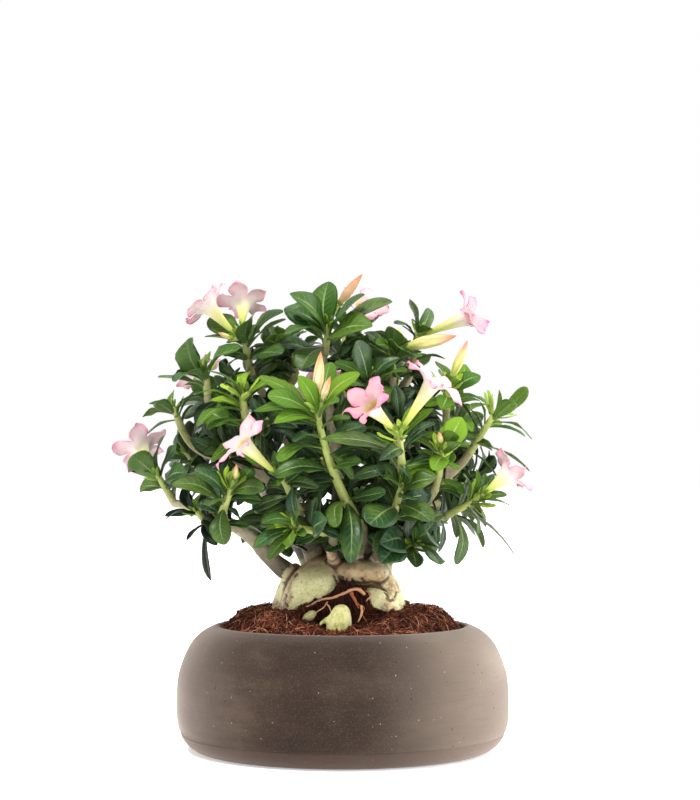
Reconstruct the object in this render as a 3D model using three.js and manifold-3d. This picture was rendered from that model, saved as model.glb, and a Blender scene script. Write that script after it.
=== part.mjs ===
// A potted desert rose (adenium): a low, wide clay bowl filled with coir, a swollen caudex that sits in
// it, and branches that end in leafy shoots, trumpet flowers and buds.
// Millimetres, +Z up. The origin is the centre of the bowl's foot, and the plant's front faces -Y.
import * as THREE from 'three';
import { mergeVertices } from 'three/addons/utils/BufferGeometryUtils.js';
import Module from 'manifold-3d';

const wasm = await Module();
wasm.setup();

// Driving dimensions
const BOWL = {
  height: 104.8, belly: 140.8, bellyHeight: 40, foot: 120, rimInside: 104, footInside: 111, floor: 10,
  sides: 32,
};
const SOIL = { edge: 101, mound: 17, moundWidth: 30, reach: 103, sides: 24, clearance: 0.8 };
const HOLLOW = { x: -2, y: -72, depth: 14, across: 28, deep: 20 }; // the dip in the coir below the arch
const LOBE = { sides: 10, rings: [0, 38, 78, 122, 180] }; // rings are degrees down from the top
const LIMB = { sides: 6, flare: 0.45, arrival: 9 };
const TWIG = { sides: 5, steps: 3, swelling: 1.2 };
const STEM = { radius: 3.5, tipRadius: 2.3, sides: 5, bowedSteps: 4 };
const STALK = { sides: 5, steps: 2, radius: 1.5, endRadius: 2.2, from: 0.85 };
const LEAF = { stations: [0, 0.46, 0.86, 1], bulge: 1.5, taper: 0.55, keel: 0.6, fold: 10, arch: 0.09 };
const LEAF_FACING = { outward: 0.9, upward: 0.5 }; // how far leaves turn their faces out and up
const LEAF_RULE = { goldenAngle: 137.5, young: 38, old: 88, scatter: 14, droop: 0.14, longest: 52 };
const FLOWER = { base: 2, waist: 3.4, mouth: 7, wall: 0.8, lobes: 5, columns: 20 };
const BUD = { sides: 5, base: 1.6, twist: 50 };
const SEAT_GAP = 0.4; // between a root and the hole it stands in
const JOIN_GAP = 0.3; // between a stem's end and what grows on from it
const LEAF_CLEAR = 0.8; // how much a leaf is thickened when it is tested against its neighbours
const TRIES = 14;
const SEED = 20;

const MATERIALS = {
  clay: { color: 0x7d6b5e, roughness: 0.8 },
  coir: { color: 0x5a2d1c, roughness: 0.95 },
  bark: { color: 0xa8a184, roughness: 0.7 },
  leaf: { color: 0x2f5a24, roughness: 0.4 },
  youngLeaf: { color: 0x6fa02e, roughness: 0.4 },
  petal: { color: 0xf0c4cc, roughness: 0.5 },
  bud: { color: 0xd9c38e, roughness: 0.5 },
};

// The swollen base: ellipsoids that grew together. `turn` is a rotation about Y in degrees.
const LOBES = [
  { name: 'crown', centre: [2, 2, 150], radii: [34, 26, 17] },
  { name: 'left dome', centre: [-21, -20, 120], radii: [31, 33, 44], turn: 12 },
  { name: 'left ridge', centre: [-47, 2, 118], radii: [13, 24, 40], turn: 12 },
  { name: 'right arch', centre: [31, -6, 122], radii: [22, 26, 36], turn: -14 },
  { name: 'right tuber', centre: [31, -36, 122], radii: [20, 15, 14], turn: 40 },
  { name: 'back left', centre: [-18, 28, 118], radii: [34, 24, 40] },
  { name: 'back right', centre: [24, 26, 116], radii: [28, 24, 38] },
  { name: 'brow', centre: [14, -26, 151], radii: [26, 18, 11] },
  { name: 'front tuber', centre: [-3, -76, 107], radii: [10.8, 10.8, 21], turn: 8 },
  { name: 'small tuber', centre: [-27, -65, 117], radii: [7, 4.4, 4.4], turn: -35 },
];

// The roots that show at the front, and those that tie the tubers to the caudex under the coir.
const ROOTS = [
  { points: [[-4, -76, 98], [-2, -50, 92], [0, -20, 100]], radii: [6, 9] },
  { points: [[-26, -64, 114], [-24, -50, 104], [-20, -30, 104]], radii: [3.4, 5] },
  { points: [[-4, -76, 117], [-12, -77, 116], [-19, -80, 111]], radii: [3, 1.5] },
  { points: [[5, -24, 149], [4, -42, 145], [3, -52, 137]], radii: [3.4, 2.4] },
];

// The main branches, from the caudex up. Each ends in the shoot named by `to`.
const LIMBS = {
  front: { to: 'front_stem', radius: 7, points: [[8, -12, 152], [13, -34, 170]] },
  leftLow: {
    to: 'far_left',
    radius: 8,
    points: [[-30, -8, 138], [-56, -15, 158], [-82, -24, 184], [-110, -28, 199], [-133, -28, 208]],
  },
  leftUp: {
    to: 'left_upper',
    radius: 8,
    points: [[-18, 4, 152], [-40, 5, 195], [-72, 0, 240], [-98, -8, 276]],
  },
  centreLeft: {
    to: 'top_left',
    radius: 7.5,
    points: [[-6, 8, 156], [-24, 12, 208], [-45, 13, 258], [-66, 10, 298]],
  },
  centre: {
    to: 'top_centre',
    radius: 8,
    points: [[2, 0, 158], [-2, -2, 216], [-9, -4, 276], [-14, -7, 316]],
  },
  rightCentre: {
    to: 'upper_right',
    radius: 8,
    points: [[16, 4, 156], [27, 0, 204], [37, -6, 250], [41, -11, 292]],
  },
  right: {
    to: 'far_right',
    radius: 8.5,
    points: [[30, -4, 146], [44, -18, 188], [62, -22, 205], [84, -22, 228]],
  },
  rightFront: { to: 'low_right', radius: 6, points: [[22, -16, 148], [31, -34, 166]] },
  lowFront: { to: 'low_centre', radius: 6, points: [[-4, -18, 152], [-9, -46, 170]] },
  backLeft: { to: 'back_left', radius: 8, points: [[-20, 20, 146], [-48, 40, 188], [-78, 55, 232]] },
  back: { to: 'back_centre', radius: 7.5, points: [[0, 24, 152], [-4, 46, 196], [-6, 68, 230]] },
  backRight: { to: 'back_right', radius: 8, points: [[22, 20, 146], [46, 40, 186], [70, 54, 228]] },
};

// The leafy shoots. A shoot grows on from a limb's end, or from a twig that leaves the limb `from`, a
// share `at` of the way along it. `aimed` are the tips of the leaves that show in front, and `ruled` more
// leaves follow the plant's spiral. `size` is a full leaf's length, and `slim` its width as a share of it.
const SHOOTS = [
  {
    name: 'top_centre', base: [-15, -8, 335], tip: [-11, -15, 361], ruled: 1, size: 50, slim: 0.5,
    aimed: [[-40, -35, 386], [-14, -8, 396], [15, -38, 383], [43, -18, 377], [23, -50, 358],
      [-43, -5, 371], [-48, 8, 394], [-34, -40, 323]],
  },
  {
    name: 'top_left', base: [-79, 5, 324], tip: [-85, 0, 353], ruled: 1, size: 42, slim: 0.46,
    aimed: [[-52, -25, 371], [-49, 22, 366], [-50, -30, 333], [-106, -20, 374], [-78, -30, 367],
      [-118, 5, 349], [-96, -20, 325]],
  },
  {
    name: 'left_upper', base: [-114, -12, 302], tip: [-116, -15, 322], ruled: 2, size: 40, slim: 0.54,
    aimed: [[-130, -35, 344], [-89, -35, 341], [-116, 5, 337], [-155, -25, 314], [-132, 20, 315]],
  },
  {
    name: 'left_bud', from: 'leftUp', at: 0.55, base: [-80, -52, 281], tip: [-83, -60, 302], ruled: 2,
    size: 40, slim: 0.4, young: true,
    aimed: [[-107, -80, 320], [-121, -72, 303], [-52, -75, 311], [-119, -85, 277], [-80, -50, 318]],
  },
  {
    name: 'left_rim', from: 'leftUp', at: 0.48, base: [-137, 0, 272], tip: [-144, 0, 290], ruled: 3,
    size: 32, slim: 0.44, aimed: [[-158, -18, 294], [-146, 8, 305], [-120, -12, 304]],
  },
  {
    name: 'far_left', base: [-145, -26, 216], tip: [-155, -30, 233], ruled: 2, size: 38, slim: 0.5,
    aimed: [[-150, -45, 265], [-176, -38, 249], [-171, -12, 221], [-131, -8, 247], [-127, -52, 229]],
  },
  {
    name: 'low_left_bud', from: 'leftLow', at: 0.5, base: [-98, -68, 202], tip: [-89, -80, 225], ruled: 1,
    size: 38, slim: 0.48, young: true,
    aimed: [[-117, -100, 238], [-136, -85, 228], [-64, -104, 224], [-74, -62, 238], [-107, -105, 211],
      [-96, -90, 178], [-83, -60, 195]],
  },
  {
    name: 'front_stem', base: [13, -55, 194], tip: [-21, -100, 290], bow: [-9, -6, -6], radius: 4.6,
    ruled: 1, size: 40, slim: 0.36, young: true,
    aimed: [[-64, -95, 316], [-33, -118, 311], [-59, -122, 296], [-71, -90, 289], [-54, -125, 274],
      [-9, -82, 324], [10, -115, 316], [-3, -135, 293], [-51, -120, 248], [16, -112, 243],
      [-56, -85, 238], [36, -88, 218], [-6, -112, 197], [6, -108, 167]],
  },
  {
    name: 'low_centre', base: [-16, -72, 186], tip: [-43, -88, 191], ruled: 1, size: 36, slim: 0.44,
    young: true,
    aimed: [[-63, -108, 197], [-71, -104, 178], [-41, -80, 223], [-13, -118, 198], [-43, -112, 180],
      [-35, -108, 203], [-61, -92, 167]],
  },
  {
    name: 'centre_right', from: 'rightCentre', at: 0.7, base: [24, -38, 295], tip: [21, -45, 316],
    ruled: 2, size: 40, slim: 0.48, aimed: [[13, -62, 343], [52, -70, 319], [46, -48, 331], [-2, -70, 310]],
  },
  {
    name: 'upper_right', base: [42, -15, 321], tip: [41, -20, 340], ruled: 1, size: 34, slim: 0.5,
    young: true,
    aimed: [[45, -42, 355], [50, -48, 344], [32, -48, 343], [61, -50, 332], [21, 0, 354]],
  },
  {
    name: 'top_right', from: 'rightCentre', at: 0.72, base: [62, 8, 337], tip: [64, 5, 356], ruled: 2,
    size: 30, slim: 0.44, aimed: [[57, -8, 381], [46, -12, 363], [65, -8, 369], [76, 18, 374]],
  },
  {
    name: 'right_bud', from: 'right', at: 0.75, base: [87, -28, 287], tip: [89, -35, 309], ruled: 2,
    size: 38, slim: 0.44, young: true,
    aimed: [[81, -58, 318], [119, -60, 296], [105, -10, 326], [116, -25, 317], [80, -15, 329]],
  },
  {
    name: 'far_right', base: [107, -20, 251], tip: [130, -25, 287], ruled: 1, size: 40, slim: 0.3,
    young: true,
    aimed: [[130, -42, 303], [155, -35, 306], [142, -58, 294], [144, 2, 285], [160, -30, 266],
      [123, -58, 255], [157, -25, 235]],
  },
  {
    name: 'centre_flowers', from: 'rightCentre', at: 0.3, base: [48, -90, 243], tip: [46, -105, 267],
    ruled: 3, size: 44, slim: 0.3, young: true, aimed: [[-17, -128, 261], [67, -82, 269], [32, -140, 248]],
  },
  {
    name: 'right_mid', from: 'right', at: 0.45, base: [79, -64, 233], tip: [82, -75, 256], ruled: 3,
    size: 34, slim: 0.5, young: true,
    aimed: [[55, -85, 275], [101, -98, 258], [87, -95, 268], [98, -60, 280]],
  },
  {
    name: 'low_right_flower', from: 'right', at: 0.35, base: [87, -45, 199], tip: [112, -60, 213],
    ruled: 0, size: 40, slim: 0.27, young: true,
    aimed: [[137, -78, 207], [137, -40, 216], [118, -85, 199], [141, -62, 166], [113, -80, 186],
      [116, -75, 233], [99, -85, 233], [128, -45, 233], [96, -70, 161]],
  },
  {
    name: 'right_inner', from: 'rightFront', at: 0.4, base: [42, -72, 201], tip: [49, -90, 227], ruled: 3,
    size: 38, slim: 0.52, aimed: [[51, -112, 239], [65, -112, 231], [22, -118, 195], [71, -112, 196]],
  },
  {
    name: 'low_right', base: [46, -38, 170], tip: [60, -62, 176], ruled: 2, size: 34, slim: 0.54,
    aimed: [[31, -98, 162], [80, -85, 163], [60, -75, 157], [74, -98, 186], [23, -92, 180]],
  },
  {
    name: 'mid_left', from: 'centreLeft', at: 0.8, base: [-41, 22, 320], tip: [-43, 20, 342], ruled: 7,
    size: 42, slim: 0.46,
  },
  {
    name: 'centre_dark', from: 'centre', at: 0.55, base: [5, -2, 283], tip: [8, -6, 306], ruled: 7,
    size: 42, slim: 0.42,
  },
  {
    name: 'left_low_back', from: 'leftUp', at: 0.4, base: [-124, 35, 236], tip: [-137, 35, 253], ruled: 6,
    size: 40, slim: 0.52, aimed: [[-134, 5, 274]],
  },
  {
    name: 'low_left', from: 'leftLow', at: 0.55, base: [-110, -42, 190], tip: [-121, -50, 203], ruled: 5,
    size: 38, slim: 0.42, aimed: [[-108, -50, 145], [-129, -50, 179]],
  },
  {
    name: 'right_dark', from: 'rightCentre', at: 0.5, base: [67, 25, 275], tip: [71, 25, 300], ruled: 7,
    size: 42, slim: 0.44,
  },
  {
    name: 'left_inner', from: 'centreLeft', at: 0.25, base: [-39, -58, 210], tip: [-50, -75, 233],
    ruled: 6, size: 40, slim: 0.42,
  },
  {
    name: 'right_low_back', from: 'right', at: 0.4, base: [84, 20, 194], tip: [97, 25, 210], ruled: 6,
    size: 40, slim: 0.42,
  },
  {
    name: 'back_top', from: 'centre', at: 0.75, base: [2, 50, 329], tip: [2, 55, 356], ruled: 7,
    size: 44, slim: 0.48,
  },
  {
    name: 'back_top_left', from: 'centreLeft', at: 0.7, base: [-48, 65, 319], tip: [-56, 75, 342],
    ruled: 7, size: 42, slim: 0.46,
  },
  { name: 'back_left', base: [-101, 70, 275], tip: [-114, 80, 297], ruled: 7, size: 42, slim: 0.48 },
  {
    name: 'back_left_low', from: 'backLeft', at: 0.6, base: [-113, 65, 218], tip: [-131, 80, 235],
    ruled: 6, size: 40, slim: 0.46,
  },
  { name: 'back_centre', base: [-7, 92, 249], tip: [-12, 112, 280], ruled: 8, size: 44, slim: 0.46 },
  {
    name: 'back_right_top', from: 'rightCentre', at: 0.62, base: [46, 68, 306], tip: [51, 78, 333],
    ruled: 7, size: 42, slim: 0.48,
  },
  { name: 'back_right', base: [90, 66, 262], tip: [104, 78, 284], ruled: 7, size: 42, slim: 0.44 },
  {
    name: 'back_right_low', from: 'backRight', at: 0.55, base: [90, 66, 209], tip: [109, 82, 226],
    ruled: 6, size: 40, slim: 0.42,
  },
  {
    name: 'back_low_left', from: 'backLeft', at: 0.35, base: [-52, 86, 189], tip: [-66, 108, 208],
    ruled: 7, size: 40, slim: 0.46,
  },
  {
    name: 'back_low_right', from: 'backRight', at: 0.3, base: [33, 86, 187], tip: [38, 108, 208],
    ruled: 7, size: 40, slim: 0.46,
  },
];

// Open flowers: `base` is the tube's foot, `mouth` the middle of its opening, and `on` the shoot that
// bears it. The lobes lean out by `open` degrees from the tube's line, and by `curl` more at their tips.
const FLOWERS = [
  {
    name: 'flower_top_left', on: 'top_left', base: [-91, -6, 351], mouth: [-113, 0, 374], size: 19,
    open: 38, curl: 26, spin: 10,
  },
  {
    name: 'flower_top_left_back', on: 'top_left', base: [-86, 8, 358], mouth: [-86, 24, 378], size: 18,
    open: 42, curl: 24, spin: 40,
  },
  {
    name: 'flower_top_right', on: 'top_right', base: [69, -2, 351], mouth: [102, -16, 364], size: 19,
    open: 20, curl: 28, spin: 8,
  },
  {
    name: 'flower_centre_open', on: 'centre_flowers', base: [48, -110, 270], mouth: [71, -118, 305],
    size: 23, open: 44, curl: 34, spin: 24,
  },
  {
    name: 'flower_centre_pink', on: 'centre_flowers', base: [42, -112, 269], mouth: [24, -132, 286],
    size: 19, open: 16, curl: 30, spin: 50,
  },
  {
    name: 'flower_left', on: 'left_inner', base: [-54, -82, 234], mouth: [-79, -96, 258], size: 22,
    open: 46, curl: 30, spin: 5,
  },
  {
    name: 'flower_far_left', on: 'far_left', base: [-160, -22, 236], mouth: [-170, -4, 254], size: 19,
    open: 46, curl: 22, spin: 30,
  },
  {
    name: 'flower_low_right', on: 'low_right_flower', base: [116, -62, 217], mouth: [134, -58, 231],
    size: 19, open: 26, curl: 26, spin: 0,
  },
  {
    name: 'flower_top_back', on: 'back_top', base: [8, 46, 361], mouth: [17, 31, 376], size: 17,
    open: 40, curl: 24, spin: 18,
  },
  {
    name: 'flower_back_centre', on: 'back_centre', base: [-13, 112, 284], mouth: [-20, 128, 306], size: 20,
    open: 42, curl: 28, spin: 12,
  },
  {
    name: 'flower_back_left', on: 'back_left', base: [-116, 82, 300], mouth: [-128, 92, 319], size: 19,
    open: 40, curl: 28, spin: 33,
  },
];

// Closed buds: `base` is the foot and `end` the point.
const BUDS = [
  { name: 'bud_top', on: 'top_centre', base: [-4, -6, 376], end: [17, 0, 403], radius: 4 },
  { name: 'bud_front_tall', on: 'front_stem', base: [-20, -104, 294], end: [-17, -110, 332], radius: 4.4 },
  { name: 'bud_front_short', on: 'front_stem', base: [-16, -106, 292], end: [-9, -119, 312], radius: 2.8 },
  { name: 'bud_right_long', on: 'upper_right', base: [52, -28, 339], end: [95, -44, 348], radius: 5.4 },
  { name: 'bud_right_tall', on: 'right_bud', base: [91, -38, 312], end: [104, -46, 344], radius: 3.9 },
  { name: 'bud_low_left', on: 'low_left_bud', base: [-87, -85, 228], end: [-85, -92, 242], radius: 2.3 },
  { name: 'bud_right_small', on: 'right_mid', base: [81, -80, 258], end: [78, -90, 268], radius: 2.3 },
  { name: 'bud_left_small', on: 'top_left', base: [-93, -10, 347], end: [-105, -18, 352], radius: 2.2 },
];

const UP = new THREE.Vector3(0, 0, 1);
const vec = (p) => new THREE.Vector3(...p);
const radians = THREE.MathUtils.degToRad;
const mix = THREE.MathUtils.lerp;

// A repeatable number from 0 to 1 for these whole-number keys.
function draw(...keys) {
  let h = SEED;
  for (const key of keys) {
    h = Math.imul(h ^ key, 0x9e3779b1) >>> 0;
    h = (h ^ (h >>> 15)) >>> 0;
    h = Math.imul(h, 0x85ebca6b) >>> 0;
    h = (h ^ (h >>> 13)) >>> 0;
  }
  return h / 2 ** 32;
}

// A closed geometry as a solid, with its faces turned outwards.
function solidOf(geometry) {
  const bare = geometry.clone();
  bare.deleteAttribute('normal');
  bare.deleteAttribute('uv');
  const merged = mergeVertices(bare, 1e-4);
  const vertProperties = merged.attributes.position.array;
  const corners = merged.index.array;
  const faces = [];
  for (let i = 0; i < corners.length; i += 3) {
    const [a, b, c] = corners.slice(i, i + 3);
    if (a !== b && b !== c && a !== c) faces.push(a, b, c);
  }
  const build = (order) => {
    const triVerts = new Uint32Array(order);
    return new wasm.Manifold(new wasm.Mesh({ numProp: 3, vertProperties, triVerts }));
  };
  const solid = build(faces);
  return solid.volume() < 0 ? build(faces.reverse()) : solid;
}

const join = (solids) => wasm.Manifold.union(solids);

// The largest body of a solid, without any loose scrap.
function oneBody(solid) {
  return solid.decompose().reduce((a, b) => (b.volume() > a.volume() ? b : a));
}

// A closed skin of rings that narrows to a point at both ends. place(row, column) gives each vertex.
function spindle(sides, rows, place) {
  const geometry = new THREE.CylinderGeometry(0, 0, 1, sides, rows - 1);
  const { position, uv } = geometry.attributes;
  for (let i = 0; i < position.count; i += 1) {
    const row = Math.round((1 - uv.getY(i)) * (rows - 1));
    const column = Math.round(uv.getX(i) * sides) % sides;
    const p = place(row, column);
    position.setXYZ(i, p.x, p.y, p.z);
  }
  return geometry;
}

// A round stem along a curve, with flat ends.
function tube(curve, steps, sides, radiusAt) {
  const frames = curve.computeFrenetFrames(steps, false);
  return spindle(sides, steps + 3, (row, column) => {
    const step = THREE.MathUtils.clamp(row - 1, 0, steps);
    const isCentre = row === 0 || row === steps + 2;
    const radius = isCentre ? 0 : radiusAt(step / steps);
    const angle = (2 * Math.PI * column) / sides;
    return curve.getPointAt(step / steps)
      .addScaledVector(frames.normals[step], radius * Math.cos(angle))
      .addScaledVector(frames.binormals[step], radius * Math.sin(angle));
  });
}

// The clay bowl, turned from one outline: flat foot, belly, rolled rim and plain inside.
function bowl() {
  const { height, belly, bellyHeight, foot, rimInside, footInside, floor, sides } = BOWL;
  const outline = [
    [0, 0], [foot, 0], [foot + 10.5, 4.6], [foot + 17, 14], [belly - 1, bellyHeight - 16],
    [belly, bellyHeight], [belly - 1.6, bellyHeight + 24], [belly - 8, bellyHeight + 43],
    [belly - 16.5, height - 9.8], [rimInside + 6, height], [rimInside, height - 2.5],
    [belly - 20.8, bellyHeight + 46], [belly - 8.8, bellyHeight + 22],
    [belly - 9.8, bellyHeight - 4], [footInside, floor], [0, floor],
  ].map(([r, z]) => new THREE.Vector2(r, z));
  return solidOf(new THREE.LatheGeometry(outline, sides).rotateX(Math.PI / 2));
}

// The height of the coir over the bowl: a mound, the hollow below the arch, and small lumps.
function soilTop(x, y) {
  const inward = (SOIL.reach + 4 - Math.hypot(x, y)) / SOIL.moundWidth;
  const mound = SOIL.mound * THREE.MathUtils.smoothstep(inward, 0, 1);
  const apart = ((x - HOLLOW.x) / HOLLOW.across) ** 2 + ((y - HOLLOW.y) / HOLLOW.deep) ** 2;
  const lumps = Math.sin(x * 0.19 + 1) * Math.cos(y * 0.23) + 0.6 * Math.sin(x * 0.41 - y * 0.37);
  return SOIL.edge + mound - HOLLOW.depth * Math.exp(-apart) + lumps;
}

// The coir fills the bowl, with a plain hole where each root stands. A ring with no height lies on top.
function soil(rootHoles) {
  const gap = SOIL.clearance;
  const bottom = BOWL.floor + JOIN_GAP;
  const rings = [
    [0, bottom], [BOWL.footInside - 1, bottom], [BOWL.belly - 9.8 - gap, BOWL.bellyHeight - 3],
    [BOWL.belly - 8.8 - gap, BOWL.bellyHeight + 22], [BOWL.belly - 20.8 - 2 * gap, BOWL.bellyHeight + 45],
    [SOIL.reach - gap], [90], [72], [40], [0],
  ];
  const block = spindle(SOIL.sides, rings.length, (row, column) => {
    const [radius, height] = rings[row];
    const angle = (2 * Math.PI * column) / SOIL.sides;
    const x = radius * Math.sin(angle);
    const y = radius * Math.cos(angle);
    return new THREE.Vector3(x, y, height ?? soilTop(x, y));
  });
  return oneBody(solidOf(block).subtract(rootHoles));
}

function lobe({ centre, radii, turn = 0 }, grow) {
  const geometry = spindle(LOBE.sides, LOBE.rings.length, (row, column) => {
    const around = (2 * Math.PI * column) / LOBE.sides;
    return new THREE.Vector3().setFromSphericalCoords(1, radians(LOBE.rings[row]), around);
  });
  geometry.rotateX(Math.PI / 2).scale(...radii.map((r) => r + grow));
  return solidOf(geometry.rotateY(radians(turn)).translate(...centre));
}

function root({ points, radii }, grow) {
  const curve = new THREE.CatmullRomCurve3(points.map(vec));
  return solidOf(tube(curve, 2, 5, (t) => mix(radii[0], radii[1], t) + grow));
}

// The caudex and its roots, grown by a margin when they cut their hole in the coir.
function caudex(grow) {
  return join([...LOBES.map((l) => lobe(l, grow)), ...ROOTS.map((r) => root(r, grow))]);
}

function shootCurve({ base, tip, bow = [0, 0, 0] }) {
  const middle = vec(base).lerp(vec(tip), 0.5).add(vec(bow));
  return new THREE.QuadraticBezierCurve3(vec(base), middle, vec(tip));
}

// Where wood has to end so that the shoot grows straight on from it, and the way it arrives there.
function joinOf(shoot) {
  const heading = shootCurve(shoot).getTangent(0);
  return { heading, end: vec(shoot.base).addScaledVector(heading, -JOIN_GAP) };
}

const shootNamed = (name) => SHOOTS.find((shoot) => shoot.name === name);

function limbCurve({ to, points }) {
  const { heading, end } = joinOf(shootNamed(to));
  const before = end.clone().addScaledVector(heading, -LIMB.arrival);
  return new THREE.CatmullRomCurve3([...points.map(vec), before, end]);
}

function limb(spec) {
  const endRadius = shootNamed(spec.to).radius ?? STEM.radius;
  const flare = (t) => 1 + LIMB.flare * Math.exp(-9 * t);
  const radiusAt = (t) => mix(spec.radius, endRadius, t) * flare(t);
  return solidOf(tube(limbCurve(spec), spec.points.length + 1, LIMB.sides, radiusAt));
}

// A twig leaves its limb part of the way along and bends round to the shoot.
function twig(shoot) {
  const parent = limbCurve(LIMBS[shoot.from]);
  const start = parent.getPointAt(shoot.at);
  const { heading, end } = joinOf(shoot);
  const reach = 0.4 * start.distanceTo(end);
  const straight = end.clone().sub(start).normalize();
  const leaving = parent.getTangentAt(shoot.at).lerp(straight, 0.5).normalize();
  const afterStart = start.clone().addScaledVector(leaving, reach);
  const beforeEnd = end.clone().addScaledVector(heading, -reach);
  const curve = new THREE.CubicBezierCurve3(start, afterStart, beforeEnd, end);
  return solidOf(tube(curve, TWIG.steps, TWIG.sides, (t) => STEM.radius + TWIG.swelling * (1 - t)));
}

// A leaf's own frame: its midrib runs from root to tip and arches to the side that its face looks to.
function leafFrame(start, tip, facing, roll, width) {
  const along = tip.clone().sub(start);
  const length = along.length();
  along.normalize();
  const up = facing.clone().addScaledVector(along, -facing.dot(along)).normalize();
  up.applyAxisAngle(along, roll);
  return { start, along, up, across: along.clone().cross(up), length, width };
}

// Half of a leaf's width a share s of the way along: narrow at the stalk, widest near the round tip.
function halfWidth(s, width) {
  const outline = (t) => t ** LEAF.bulge * (1 - t) ** LEAF.taper;
  return (0.5 * width * outline(s)) / outline(LEAF.bulge / (LEAF.bulge + LEAF.taper));
}

// A leaf is a keeled blade: two edges and a midrib below them, from a root in the stem to the tip. A
// guard is the same blade thickened by `grow`, and it may start a share `from` of the way along.
function leafBlade(leaf, grow = 0, from = 0) {
  const stations = LEAF.stations.map((s) => Math.max(s, from));
  const last = stations.length - 1;
  const fold = radians(LEAF.fold);
  return solidOf(spindle(3, stations.length, (row, column) => {
    const s = stations[row];
    const isEnd = row === 0 || row === last;
    const half = isEnd ? 0 : halfWidth(s, leaf.width) + grow;
    const point = leaf.start.clone()
      .addScaledVector(leaf.along, leaf.length * s + (row === last ? grow : 0))
      .addScaledVector(leaf.up, leaf.length * LEAF.arch * 4 * s * (1 - s));
    if (isEnd) return point;
    if (column === 1) return point.addScaledVector(leaf.up, -LEAF.keel - grow);
    return point.addScaledVector(leaf.across, (column - 1) * half * Math.cos(fold))
      .addScaledVector(leaf.up, half * Math.sin(fold) + grow);
  }));
}

// An aimed leaf grows from the stem a little below the point that is nearest to its tip.
function aimedLeaf(target, curve) {
  const tip = vec(target);
  const places = Array.from({ length: 21 }, (_, i) => i / 20);
  const gapAt = (t) => curve.getPoint(t).distanceTo(tip);
  const nearest = places.reduce((best, t) => (gapAt(t) < gapAt(best) ? t : best));
  const at = THREE.MathUtils.clamp(nearest - (0.35 * gapAt(nearest)) / curve.getLength(), 0.2, 0.92);
  return { start: curve.getPoint(at), tip };
}

// A ruled leaf stands on the spiral: the older it is, the lower, wider open and longer.
function ruledLeaf(shoot, number, k, curve) {
  const { goldenAngle, young, old, scatter, droop } = LEAF_RULE;
  const age = (k + 0.5) / shoot.ruled;
  const start = curve.getPoint(mix(0.9, 0.3, age));
  const axis = curve.getTangent(1);
  const level = Math.abs(axis.z) > 0.9 ? new THREE.Vector3(0, 1, 0) : UP;
  const turn = radians(goldenAngle * k + 360 * draw(number, k, 1));
  const aside = axis.clone().cross(level).normalize().applyAxisAngle(axis, turn);
  const opening = radians(mix(young, old, age) + scatter * draw(number, k, 2));
  const length = shoot.size * mix(0.8, 1.05, age) * mix(0.9, 1.1, draw(number, k, 3));
  const tip = start.clone()
    .addScaledVector(axis, length * Math.cos(opening))
    .addScaledVector(aside, length * Math.sin(opening))
    .addScaledVector(UP, -droop * length * age);
  return { start, tip };
}

// All of a shoot's leaves before any has to give way: where each starts, and where its tip would be.
function wantedLeaves(shoot, number) {
  const curve = shootCurve(shoot);
  const aimed = (shoot.aimed ?? []).map((target) => aimedLeaf(target, curve));
  const ruled = Array.from({ length: shoot.ruled }, (_, k) => ruledLeaf(shoot, number, k, curve));
  return [...aimed, ...ruled];
}

// The same leaf on a later try: its tip sways further from where it would be, and then it shortens.
function swayedLeaf({ start, tip }, shoot, number, k, attempt) {
  const length = tip.distanceTo(start);
  const sway = 0.07 * attempt * length;
  const [right, back, up] = [1, 2, 3].map((i) => (2 * draw(number, k, attempt, i) - 1) * sway);
  const reach = length * (1 - 0.045 * Math.max(0, attempt - 6));
  const swayed = tip.clone().add(new THREE.Vector3(0.7 * right, 1.2 * back, 0.7 * up));
  swayed.sub(start).setLength(reach).add(start);
  const outward = new THREE.Vector3(shoot.tip[0], shoot.tip[1], 0).normalize();
  const facing = shootCurve(shoot).getTangent(1)
    .addScaledVector(outward, LEAF_FACING.outward)
    .addScaledVector(UP, LEAF_FACING.upward);
  const roll = radians(36 * (draw(number, k, attempt, 4) - 0.5));
  const width = shoot.slim * Math.min(length, LEAF_RULE.longest) * mix(0.88, 1.12, draw(number, k, 5));
  return leafFrame(start, swayed, facing, roll, width);
}

// What stands in the way of a new leaf: solids with their boxes, and the node each belongs to.
const obstacles = [];
const boxOf = ({ min, max }) => new THREE.Box3(vec(min), vec(max));
function addObstacle(solid, node, isLeaf = false) {
  obstacles.push({ solid, node, isLeaf, box: boxOf(solid.boundingBox()) });
}
function isClear(solid, mayCross) {
  const box = boxOf(solid.boundingBox());
  return !obstacles.some((other) => (
    !mayCross(other) && other.box.intersectsBox(box) && other.solid.intersect(solid).volume() > 0
  ));
}

// A shoot's leaves, each on its first try that is clear of other nodes and of its fellows' blades.
function placedLeaves(shoot, number) {
  const isOwn = (other) => other.node === shoot.name;
  const placed = [];
  wantedLeaves(shoot, number).forEach((wanted, k) => {
    for (let attempt = 0; attempt < TRIES; attempt += 1) {
      const leaf = swayedLeaf(wanted, shoot, number, k, attempt);
      const outerBlade = leafBlade(leaf, LEAF_CLEAR, 0.24);
      const isFree = isClear(leafBlade(leaf, LEAF_CLEAR), isOwn)
        && isClear(outerBlade, (other) => !(isOwn(other) && other.isLeaf));
      if (isFree) {
        placed.push(leafBlade(leaf));
        addObstacle(outerBlade, shoot.name, true);
        return;
      }
    }
  });
  return placed;
}

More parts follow.
